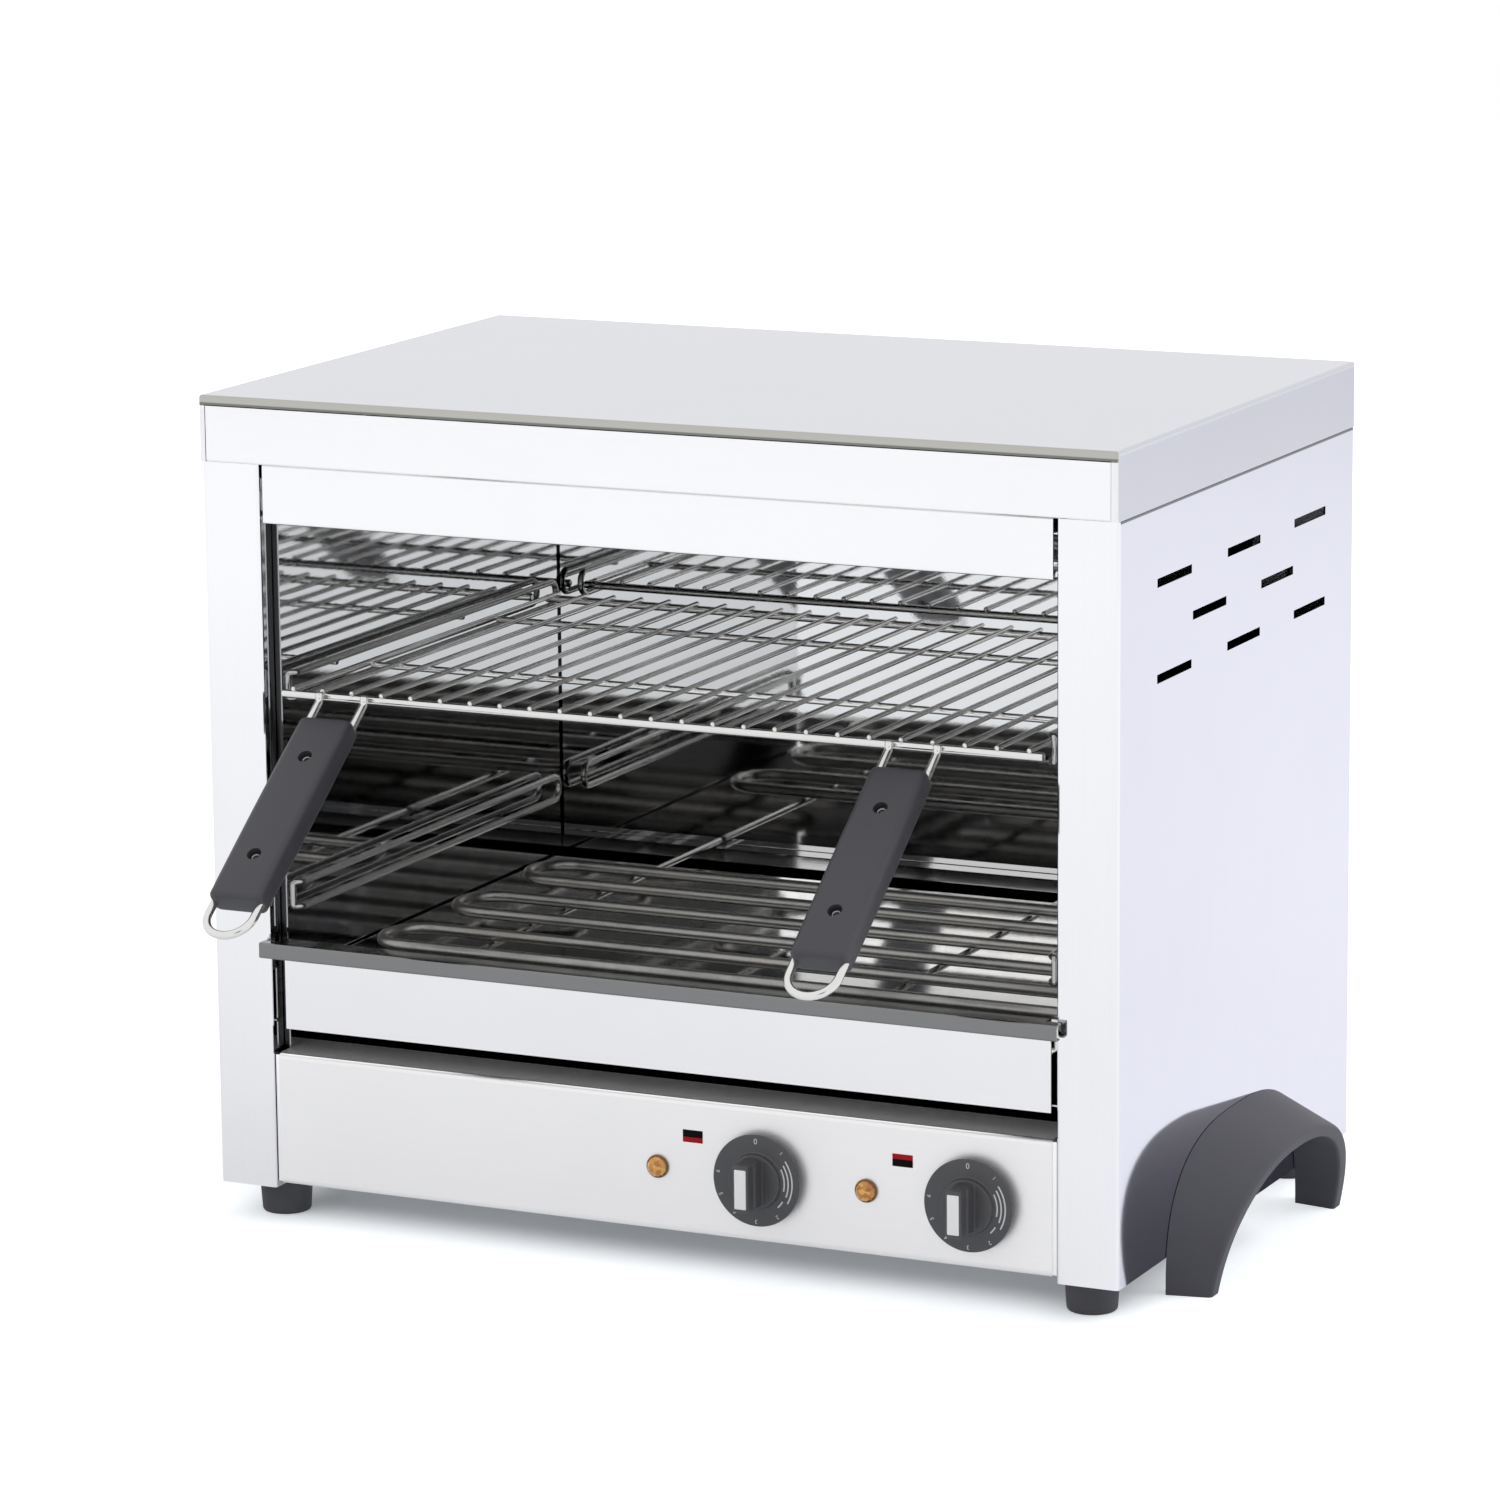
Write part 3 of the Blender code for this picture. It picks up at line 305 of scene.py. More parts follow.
def piece(name, shells, node, look, replace=False, crease=40):
    """Add a piece to the scene. It rides on the body of the node that it belongs to."""
    item = add_object(name, mesh_of(name, shells, crease))
    return settle(item, node, look, (node,) if replace else ())


def carve(item, shells, crease):
    """Cut closed shells out of a piece for good."""
    name = item.name + "_cutter"
    tool = add_object(name, mesh_of(name, shells, crease))
    item.modifiers.new("recess", "BOOLEAN").object = tool
    bpy.context.view_layer.update()
    mesh = bpy.data.meshes.new_from_object(item.evaluated_get(bpy.context.evaluated_depsgraph_get()))
    item.modifiers.clear()
    item.data = mesh
    bpy.data.objects.remove(tool)
    smooth(mesh, crease)


def dress(names, look):
    """Give nodes that stay a finish."""
    for name in names:
        for place in nodes[name].material_slots:
            place.material = look


# finishes

class Signal:
    """A socket on its way through a material; arithmetic on it adds Math nodes."""

    def __init__(self, look, socket):
        self.look = look
        self.socket = socket

    def math(self, operation, first, second):
        return self.look.add("ShaderNodeMath", {"operation": operation}, {0: first, 1: second})

    def __add__(self, other):
        return self.math("ADD", self, other)

    def __radd__(self, other):
        return self.math("ADD", other, self)

    def __sub__(self, other):
        return self.math("SUBTRACT", self, other)

    def __rsub__(self, other):
        return self.math("SUBTRACT", other, self)

    def __mul__(self, other):
        return self.math("MULTIPLY", self, other)

    def __rmul__(self, other):
        return self.math("MULTIPLY", other, self)

    def clamped(self):
        return self.math("MINIMUM", self.math("MAXIMUM", self, 0.0), 1.0)


class Graph:
    """A node tree under construction."""

    def __init__(self, tree):
        self.tree = tree

    def add(self, kind, settings=None, inputs=None, output=0):
        """Add a node: its settings first, then values or links for its sockets. Gives its output."""
        node = self.tree.nodes.new(kind)
        for key, value in (settings or {}).items():
            if key == "stops":
                ramp = node.color_ramp
                while len(ramp.elements) < len(value):
                    ramp.elements.new(1.0)
                for element, (position, colour) in zip(ramp.elements, value):
                    element.position = position
                    element.color = (*colour, 1)
            else:
                setattr(node, key, value)
        for key, value in (inputs or {}).items():
            if isinstance(value, Signal):
                self.tree.links.new(value.socket, node.inputs[key])
            else:
                node.inputs[key].default_value = value
        return Signal(self, node.outputs[output])

    def ray(self, kind):
        """1 on rays of a kind: camera, glossy or transmission."""
        return self.add("ShaderNodeLightPath", {}, {}, "Is %s Ray" % kind)

    def fade(self, value, start, stop):
        """Share that rises smoothly from 0 to 1 as a value runs from start to stop."""
        return self.add("ShaderNodeMapRange", {"interpolation_type": "SMOOTHSTEP"}, {
            "Value": value, "From Min": start, "From Max": stop})

    def vector(self, operation, first, second=(0, 0, 0), output=0):
        return self.add("ShaderNodeVectorMath", {"operation": operation}, {0: first, 1: second}, output)


class Look(Graph):
    """A Principled material under construction."""

    def __init__(self, name, **uniform):
        self.material = bpy.data.materials.new(name)
        self.material.use_nodes = True
        super().__init__(self.material.node_tree)
        self.shader = self.tree.nodes["Principled BSDF"]
        for key, value in uniform.items():
            self.shader.inputs[key.replace("_", " ").title().replace("Ior", "IOR")].default_value = value

    def place(self, scale=(1, 1, 1), turn=(0, 0, 0)):
        """Object coordinates, stretched and turned."""
        source = self.add("ShaderNodeTexCoord", output="Object")
        return self.add("ShaderNodeMapping", {}, {"Vector": source, "Scale": scale, "Rotation": turn})

    def noise(self, scale, detail=3.0, roughness=0.55, stretch=(1, 1, 1), turn=(0, 0, 0)):
        return self.add("ShaderNodeTexNoise", {}, {
            "Vector": self.place(stretch, turn), "Scale": scale, "Detail": detail, "Roughness": roughness})

    def cells(self, scale):
        """A random brightness for each cell."""
        pattern = self.add("ShaderNodeTexVoronoi", {}, {"Vector": self.place(), "Scale": scale}, "Color")
        return self.add("ShaderNodeRGBToBW", {}, {0: pattern})

    def zone(self, axis, start, stop):
        """Share that rises from 0 to 1 as a coordinate runs from start to stop, in metres."""
        source = self.add("ShaderNodeTexCoord", output="Object")
        return self.fade(self.add("ShaderNodeSeparateXYZ", {}, {0: source}, axis), start, stop)

    def within(self, places):
        """Product of the zones, each given as (axis, start, stop)."""
        share = self.zone(*places[0])
        for place in places[1:]:
            share = share * self.zone(*place)
        return share

    def blend(self, share, first, second):
        """Mix of two colours."""
        inputs = {0: share}
        for key, value in ((6, first), (7, second)):
            inputs[key] = value if isinstance(value, Signal) else (*value, 1)
        return self.add("ShaderNodeMix", {"data_type": "RGBA"}, inputs, 2)

    def feed(self, key, signal):
        self.tree.links.new(signal.socket, self.shader.inputs[key])

    def finish(self, colour, roughness, height=None, depth=0.0, strength=1.0):
        """Feed the colour, the roughness and a bump of a given depth in metres. Gives the material."""
        self.feed("Base Color", colour)
        self.feed("Roughness", roughness)
        if height:
            bump = {"Height": height, "Distance": depth, "Strength": strength}
            self.feed("Normal", self.add("ShaderNodeBump", {}, bump))
        return self.material


def shade(colour, *factors):
    """A colour times one factor, or times one for each of its parts, at most 1."""
    return tuple(min(1.0, value * factor) for value, factor in zip(colour, factors * 3))


grain_ways = {"X": (0.02, 1, 1), "Y": (1, 0.02, 1), "Z": (1, 1, 0.02)}


def sheet_look(name, colour, roughness, grain, brush=0.05, smear=0.04, metal=1.0, tones=(), apart=()):
    """Rolled stainless sheet: fine grain along one way, faint cloudy smears and hairline scratches. Each
    tone is another colour and its zones; apart gives zones with another share of metal and roughness."""
    look = Look(name, metallic=metal)
    streaks = look.noise(900.0, 2.0, 0.6, grain_ways[grain])
    clouds = look.noise(7.0, 4.0, 0.6)
    hairs = look.noise(260.0, 6.0, 0.75, (0.05, 1, 0.6), (0.3, 0.5, 0.7))
    scratch = ((hairs - 0.68) * 8.0).clamped()
    tone = colour
    for other, places in tones:
        tone = look.blend(look.within(places), tone, other)
    tone = look.blend(0.955 + clouds * 0.09, (0, 0, 0), tone)
    tone = look.blend((streaks * 0.08).clamped(), tone, shade(colour, 0.6))
    tone = look.blend(scratch * 0.10, tone, shade(colour, 0.8))
    rough = roughness - (brush + smear) * 0.5 + streaks * brush + clouds * smear + scratch * 0.05
    if apart:
        places, other_metal, other_roughness = apart
        share = look.within(places)
        look.feed("Metallic", metal + share * (other_metal - metal))
        rough = rough + share * (other_roughness - roughness)
    return look.finish(tone, rough, streaks, 0.004 * mm, 0.6)


def pan_look(name, colour):
    """Plated pan and decks: soft spangle, baked-on tint and light wear."""
    look = Look(name, metallic=1.0)
    spangle = look.cells(140.0)
    clouds = look.noise(18.0, 5.0, 0.65)
    tone = look.blend(spangle, shade(colour, 0.85), shade(colour, 1.15))
    tone = look.blend((clouds * 0.6).clamped(), tone, shade(colour, 0.90, 0.89, 0.87))
    return look.finish(tone, 0.02 + clouds * 0.03 + spangle * 0.01, clouds, 0.03 * mm, 0.5)


def wire_look(name, colour, roughness=0.10):
    """Chromed wire with a little heat tint and drawn lines."""
    look = Look(name, metallic=1.0)
    clouds = look.noise(45.0)
    pits = look.noise(1500.0, 2.0)
    tone = look.blend(clouds, shade(colour, 0.9), shade(colour, 1.0, 0.985, 0.95))
    return look.finish(tone, roughness + clouds * 0.06 + pits * 0.05, pits, 0.01 * mm, 0.5)


def rod_look(name, colour):
    """Heating rod: oxidised steel, mottled along its length, brown and grey where it has glowed."""
    look = Look(name, metallic=0.85)
    mottle = look.noise(60.0, 5.0, 0.65, (0.25, 1, 1))
    specks = look.noise(900.0)
    stops = [(0.30, shade(colour, 0.55)), (0.48, colour), (0.62, shade(colour, 1.08, 1.04, 0.98)),
             (0.78, shade(colour, 1.6))]
    tone = look.add("ShaderNodeValToRGB", {"stops": stops}, {0: mottle})
    tone = look.blend((specks - 0.4).clamped(), tone, shade(colour, 0.6))
    return look.finish(tone, 0.22 + mottle * 0.14 + specks * 0.06, specks, 0.03 * mm, 0.6)


def plastic_look(name, colour, roughness=0.42, grain=0.03, gloss=0.5):
    """Moulded plastic: fine spark-eroded grain, slight flow marks and handling shine."""
    look = Look(name, specular_ior_level=gloss)
    pores = look.noise(1400.0, 3.0, 0.7)
    flow = look.noise(22.0, 4.0, 0.6, (1, 0.3, 1))
    tone = look.blend(flow, shade(colour, 0.92), shade(colour, 1.1))
    return look.finish(tone, roughness - 0.06 + flow * 0.10 + pores * 0.06, pores, grain * mm, 0.7)


def rubber_look(name, colour):
    """Moulded rubber with a coarse grain and a little dust."""
    look = Look(name, specular_ior_level=0.3)
    grain = look.noise(600.0, 4.0, 0.7)
    dust = look.noise(40.0, 4.0, 0.6)
    tone = look.blend((dust * 0.5).clamped(), colour, shade(colour, 1.7))
    return look.finish(tone, 0.6 + grain * 0.2, grain, 0.06 * mm, 0.7)


def ceramic_look(name, colour):
    """Unglazed ceramic with dark specks."""
    look = Look(name, specular_ior_level=0.4)
    specks = look.noise(500.0, 4.0, 0.6)
    tone = look.blend(look.noise(60.0), shade(colour, 0.9), shade(colour, 1.05))
    tone = look.blend(((specks - 0.6) * 3.0).clamped(), tone, shade(colour, 0.6))
    return look.finish(tone, 0.45 + specks * 0.2, specks, 0.03 * mm, 0.5)


def lens_look(name, colour):
    """Amber lens: painted highlights and painted shade in cells behind its facets, and a clear coat."""
    look = Look(name, coat_weight=0.5, coat_roughness=0.05, specular_ior_level=0.5)
    glow = look.noise(260.0, 2.0)
    # Cells of painted highlight and painted shade in the lens.
    glint_patch = ((look.cells(330.0) - 0.2) * 1.9).clamped()
    tone = look.blend(glint_patch, shade(colour, 0.6), shade(colour, 1.3, 1.7, 3.0))
    tone = look.blend((glow * 0.3).clamped(), tone, shade(colour, 0.8))
    return look.finish(tone, 0.10 + glow * 0.12)


def print_look(name, colour, roughness=0.45, gloss=0.4):
    """Printed ink: slightly uneven, with a matt tooth."""
    look = Look(name, specular_ior_level=gloss)
    tooth = look.noise(1800.0)
    tone = look.blend(tooth, shade(colour, 0.93), shade(colour, 1.05))
    return look.finish(tone, roughness + tooth * 0.15, tooth, 0.008 * mm, 0.4)


looks = {}


def look_of(key, maker, *values, **options):
    """A finish that several pieces share is made once."""
    if key not in looks:
        looks[key] = maker(key, *values, **options)
    return looks[key]


# operators

class GrillOperator:
    bl_options = {"REGISTER", "UNDO"}

    def execute(self, context):
        self.make(context.scene.grill_sizes, context.scene.grill_colours)
        return {"FINISHED"}


def near_edge(axis, edge, start, stop):
    """A zone that fades in between two distances, in millimetres, from an edge."""
    return axis, edge + start * mm, edge + stop * mm


class GRILL_OT_sheet_metal(GrillOperator, bpy.types.Operator):
    """Give the cabinet's panels, cavity walls, decks and crumb tray their steel finishes"""
    bl_idname = "grill.sheet_metal"
    bl_label = "Sheet metal"
    # Painted shadow in the gap under the lid's skirt, on the side sheets.
    shadow_line_colour = (0.12, 0.12, 0.13)
    # Painted shade on the side sheets' inner returns behind the posts.
    return_shade_colour = (0.45, 0.45, 0.46)
    # Painted shadow line and band of painted reflection on the lid's lip.
    lip_shadow_colour = (0.20, 0.20, 0.18)
    lip_reflection_colour = (0.50, 0.49, 0.45)
    # Painted shadow in the joints where the cavity walls meet at the back.
    corner_shadow_colour = (0.06, 0.06, 0.06)
    housing_colour = (0.72, 0.68, 0.58)
    zinc_colour = (0.60, 0.60, 0.56)

    def make(self, sizes, colours):
        front, lid, liner = colours.front_steel, colours.shaded_lid_steel, colours.liner_steel
        rails = ["lower_front_rail", "lower_rear_rail", "upper_front_rail", "upper_rear_rail"]
        for names, key, maker, *values in (
                (["valance", "lid_fascia"], "front_sheet", sheet_look, front, 0.20, "X"),
                # The tray front is the front steel made darker: painted shade for the shadowed floor that it
                # reflects.
                (["tray_front"], "tray_front_sheet", sheet_look, shade(front, 0.93), 0.20, "X"),
                (["back_panel"], "back_sheet", sheet_look, shade(lid, 1.1), 0.26, "Z"),
                # The rails are the cavity steel made darker: painted shade that dims their reflections.
                (rails, "rail_sheet", sheet_look, shade(liner, 0.8), 0.05, "X", 0.02, 0.02),
                # The tray lip is the cavity steel at a third: painted shade for the dark cavity that it
                # reflects.
                (["tray_lip"], "lip_sheet", sheet_look, shade(liner, 0.30), 0.14, "X"),
                (["base_pan", "partition", "tray_pan"], "plated_sheet", pan_look, colours.tray_steel),
                (["regulator_left", "regulator_right", "terminal_block"], "housing_ceramic", ceramic_look,
                 self.housing_colour),
                (["dial_shaft_left", "dial_shaft_right"], "shaft_zinc", wire_look, self.zinc_colour, 0.25)):
            dress(names, look_of(key, maker, *values))
        self.dress_panel(front)
        self.dress_sides(front, colours.shaded_side_steel)
        self.dress_lid(front, colours.shaded_side_steel, lid)
        self.dress_cavity(liner)

    def dress_panel(self, front):
        """The control panel is smoother along its top fold."""
        low, high = corners("control_panel")
        fold = near_edge("Z", high[2], -1.6, -0.8), near_edge("Y", low[1], 3.5, 2.0)
        dress(["control_panel"], look_of("panel_sheet", sheet_look, shade(front, 1.04), 0.42, "X",
                                         metal=0.7, apart=(fold, 1.0, 0.18)))

    def dress_sides(self, front, post):
        """Side sheets get painted shade that darkens them with height, a painted shadow line under the lid, a
        front like the other front sheets and painted grey shade on the inner return."""
        (low, high), under = corners("side_left"), corners("lid_sheet")[0][2]
        # Zone of the painted shadow line just under the lid's skirt.
        shadow_line = near_edge("Z", under, -1.9, -1.3), near_edge("Y", low[1], 1.0, 1.6)
        edge = abs(corners("valance")[0][0])
        for node, side in (("side_left", -1), ("side_right", 1)):
            # Zone of the painted grey shade on the inner return.
            inside = near_edge("X", side * edge, side * 3, side * 2), near_edge("Y", low[1], 1.2, 1.6)
            tones = (
                # Painted shade that darkens the side towards the top, then the painted shadow line under the
                # lid.
                (shade(post, 0.78), [("Z", low[2], high[2])]), (self.shadow_line_colour, shadow_line),
                # The front face takes the front sheets' lighter steel; the inner return takes painted grey
                # shade.
                (shade(front, 0.96), [near_edge("Y", low[1], 1.6, 0.4)]), (self.return_shade_colour, inside))
            dress([node], look_of(node + "_sheet", sheet_look, post, 0.06, "Z", 0.03, 0.02, tones=tones))

    def dress_lid(self, front, post, lid):
        """The lid has painted shade on its darker skirt, side rims like the front sheets, and on its lip a
        painted shadow line and a lighter band of painted reflection."""
        low, high = corners("lid_sheet")
        face = near_edge("Y", low[1], 1.5, 0.4)
        tones = (
            # Painted shade on the skirt: the side steel made darker still.
            (shade(post, 0.68), [near_edge("Z", high[2], -2, -4)]),
            (shade(front, 0.96), [face]),
            # A painted shadow line on the lip, then a band of painted reflection where it turns down.
            (self.lip_shadow_colour, [face, near_edge("Z", high[2], -6.4, -5.8)]),
            (self.lip_reflection_colour, [face, near_edge("Z", high[2], -4.6, -3.8)]))
        dress(["lid_sheet"], look_of("lid_sheet_steel", sheet_look, lid, 0.22, "X", tones=tones))

    def dress_cavity(self, liner):
        """Polished walls and ceiling, with painted shadow lines where the walls meet at the back."""
        side_shadow_line = near_edge("Y", corners("liner_back")[0][1], -2.2, -1.6)
        outer = abs(corners("liner_left")[0][0])
        for node, shadow_lines in (
                ("liner_left", [side_shadow_line]), ("liner_right", [side_shadow_line]),
                ("liner_back", [near_edge("X", -outer, 2.4, 1.8), near_edge("X", outer, -2.4, -1.8)]),
                ("ceiling_reflector", [])):
            # Painted shadow along each joint line.
            tones = [(self.corner_shadow_colour, [shadow_line]) for shadow_line in shadow_lines]
            dress([node], look_of(node + "_sheet", sheet_look, liner, 0.03, "Y", 0.015, 0.02, tones=tones))


class GRILL_OT_folded_returns(GrillOperator, bpy.types.Operator):
    """Add the folded returns at the control panel's ends and the cavity walls' flanges behind the posts, near
    black as painted shade in the gaps there
    """
    bl_idname = "grill.folded_returns"
    bl_label = "Folded returns"
    setback = 0.9 * mm
    depth = 6 * mm
    edge = 0.5 * mm
    overlap = 1 * mm
    end_gap = 1.2 * mm
    post_step = 5.45 * mm
    flange_setback = 0.3 * mm
    flange_sheet = 0.8 * mm
    flange_edge = 0.24 * mm
    flange_overlap = 1.6 * mm
    wall_gap = 0.05 * mm

    def make(self, sizes, colours):
        steel = look_of("front_sheet", sheet_look, colours.front_steel, 0.20, "X")
        # The flanges are the cavity steel made near black: painted shade in the gaps behind the posts.
        dark = look_of("flange_sheet", sheet_look, shade(colours.liner_steel, 0.09), 0.25, "Z")
        post = abs(corners("tray_front")[0][0]) + self.post_step
        low, high = corners("control_panel")
        returns = [self.strip(side, high[0] - self.overlap, post, low[2] + self.end_gap,
                              high[2] - self.end_gap, low[1] + self.setback, self.depth, self.edge)
                   for side in (-1, 1)]
        piece("control_panel_returns", returns, "control_panel", steel)
        for node, side in (("liner_left", -1), ("liner_right", 1)):
            low, high = corners(node)
            wall = max(abs(low[0]), abs(high[0])) + self.wall_gap
            flange = self.strip(side, wall, post + self.flange_overlap, low[2], high[2],
                                low[1] + self.flange_setback, self.flange_sheet, self.flange_edge)
            piece(node + "_flange", [flange], node, dark)

    def strip(self, side, inner, outer, low, high, front, depth, edge):
        """Upright strip of sheet between two distances from the middle plane."""
        centre = (side * (inner + outer) / 2, front, (low + high) / 2)
        ways = (axis_x, axis_z, axis_y)
        return cushion((outer - inner) / 2, (high - low) / 2, 0, depth, edge, edge, centre, ways, 4)


class GRILL_OT_heating_rods(GrillOperator, bpy.types.Operator):
    """Add the two banks of hairpin heating rods with their ceramic beads and threaded ends"""
    bl_idname = "grill.heating_rods"
    bl_label = "Heating rods"
    stud_length = 8 * mm
    stud_radius = 2 * mm
    stud_gap = 0.1 * mm
    thread_pitch = 0.7 * mm
    thread_depth = 0.12 * mm
    bead_start = 14.7 * mm
    bead_length = 12 * mm
    bead_edge = 1.2 * mm
    bead_play = 0.05 * mm
    leg_points = 12

    def make(self, sizes, colours):
        rod = look_of("rod_oxide", rod_look, colours.rod_oxide)
        bead = look_of("bead_ceramic", ceramic_look, (0.80, 0.77, 0.68))
        stud = look_of("stud_steel", wire_look, (0.55, 0.54, 0.50), 0.3)
        for node in sorted(name for name in nodes if "_rod_" in name):
            low, high = corners(node)
            centre = (low + high) / 2
            radius = (high[1] - low[1]) / 2 - sizes.bead_radius
            centre[0] = low[0] + sizes.rod_radius + radius
            stop = high[0] - self.stud_length
            path = self.hairpin(centre, radius, stop - centre[0])
            piece(node + "_tube", [tube(path, sizes.rod_radius, axis_z, 20)], node, rod, replace=True)
            beads, studs = [], []
            for y in (centre[1] - radius, centre[1] + radius):
                collar, tip = (stop - self.bead_start, y, centre[2]), (stop - self.stud_radius, y, centre[2])
                beads.append(lathe(self.bead_profile(sizes), collar, axis_x, 28))
                studs.append(lathe(self.stud_profile(), tip, axis_x, 16))
            piece(node + "_beads", beads, node, bead)
            piece(node + "_studs", studs, node, stud)

    def hairpin(self, centre, radius, reach):
        """Two straight legs joined by a half ring."""
        ring = half_ring(centre, -axis_x, axis_y, radius)
        run = np.linspace(reach, 0, self.leg_points)[:-1, None] * axis_x
        return np.vstack([ring[0] + run, ring, ring[-1] + run[::-1]])

    def bead_profile(self, sizes):
        bore, outer = sizes.rod_radius + self.bead_play, sizes.bead_radius
        outline = [(bore, 0), (outer, 0), (outer, self.bead_length), (bore, self.bead_length)]
        return bend(outline, self.bead_edge, 5)

    def stud_profile(self):
        """Threaded stud: radius r - d (1 + cos 2 pi h / p) at the height h."""
        along = np.linspace(0, self.stud_length + self.stud_radius - self.stud_gap, 60)
        thread = self.stud_radius - self.thread_depth * (1 + np.cos(along / self.thread_pitch * 2 * np.pi))
        return np.stack([thread, along], axis=-1)


class GRILL_OT_wire_carriers(GrillOperator, bpy.types.Operator):
    """Add the wires that carry the rods and the looped guides on the cavity walls"""
    bl_idname = "grill.wire_carriers"
    bl_label = "Wire carriers"
    bend_reach = 1.92 * mm
    joggle = 4 * mm

    def make(self, sizes, colours):
        look = look_of("carrier_wire", wire_look, shade(colours.wire_steel, 0.6), 0.16)
        radius = sizes.support_radius
        for node in sorted(name for name in nodes if "_support_" in name):
            low, high = corners(node)
            x, _, z = (low + high) / 2
            wire = tube([(x, low[1], z), (x, high[1], z)], radius, axis_z)
            piece(node + "_wire", [wire], node, look, replace=True)
        for node in sorted(name for name in nodes if name.startswith("guide_")):
            loop = tube(self.guide_path(node, radius), radius, axis_x, closed=True)
            piece(node + "_loop", [loop], node, look, replace=True)

    def guide_path(self, node, radius):
        """Closed loop beside a wall: straight wires, a half ring at the back, and at the front a crosswise
        step to the wall, where the loop's upright end is welded."""
        low, high = corners(node)
        low, high = low + radius, high - radius
        wall, inner = (low[0], high[0]) if node.startswith("guide_left") else (high[0], low[0])
        near, step = low[1], self.joggle
        front = np.array([
            (inner, near + step * 3, low[2]), (inner, near + step, low[2]), (wall, near, low[2]),
            (wall, near, high[2]), (inner, near + step, high[2]), (inner, near + step * 3, high[2])])
        ring = (high[2] - low[2]) / 2
        back = half_ring((inner, high[1] - ring, low[2] + ring), axis_y, -axis_z, ring, 17)
        return np.vstack([bend(front, self.bend_reach, 6), back])


class GRILL_OT_rack(GrillOperator, bpy.types.Operator):
    """Add the welded rack with its rails, cross bars and thin wires"""
    bl_idname = "grill.rack"
    bl_label = "Rack"
    overrun = 2.5 * mm
    bar_places = (94 * mm, 252 * mm)
    bar_overrun = 1.5 * mm
    weld = 0.6 * mm
    bead_shares = (1.35, 1.2, 0.5)

    def make(self, sizes, colours):
        node = "rack_grid"
        low, high = corners(node)
        look = look_of("rack_chrome", wire_look, colours.wire_steel, 0.09)
        rail, bar, wire = sizes.rail_radius, sizes.bar_radius, sizes.wire_radius
        front, back = low[1] + self.overrun, high[1] - self.overrun
        rail_z = low[2] + rail
        bar_z = rail_z + rail - bar
        half = sizes.wire_pitch * (sizes.wire_count - 1) / 2
        reach = half + self.bar_overrun
        rails = [tube([(low[0], y, rail_z), (high[0], y, rail_z)], rail, axis_z, 24) for y in (front, back)]
        rails += [tube([(-reach, front + y, bar_z), (reach, front + y, bar_z)], bar, axis_z, 20)
                  for y in self.bar_places]
        piece("rack_rails", rails, node, look, replace=True)
        z = rail_z + rail - self.weld + wire
        xs = np.linspace(-half, half, sizes.wire_count)
        wires = [tube([(x, low[1], z), (x, high[1], z)], wire, axis_z, 14, edge_share=0.7) for x in xs]
        piece("rack_wires", wires, node, look)
        ball = self.bead() * wire
        beads = [shell(ball + np.array([x, y, z - wire])) for x in xs for y in (front, back)]
        piece("rack_welds", beads, node, look)

    def bead(self):
        """Flattened bead of a weld for a wire of radius 1: half axes a, b and c along X, Y and Z."""
        lat = np.linspace(-1.35, 1.35, 7)[:, None]
        lon = np.linspace(0, 2 * np.pi, 8, endpoint=False)
        ball = [np.cos(lat) * np.cos(lon), np.cos(lat) * np.sin(lon), np.sin(lat) + 0 * lon]
        return np.stack(ball, axis=-1) * self.bead_shares


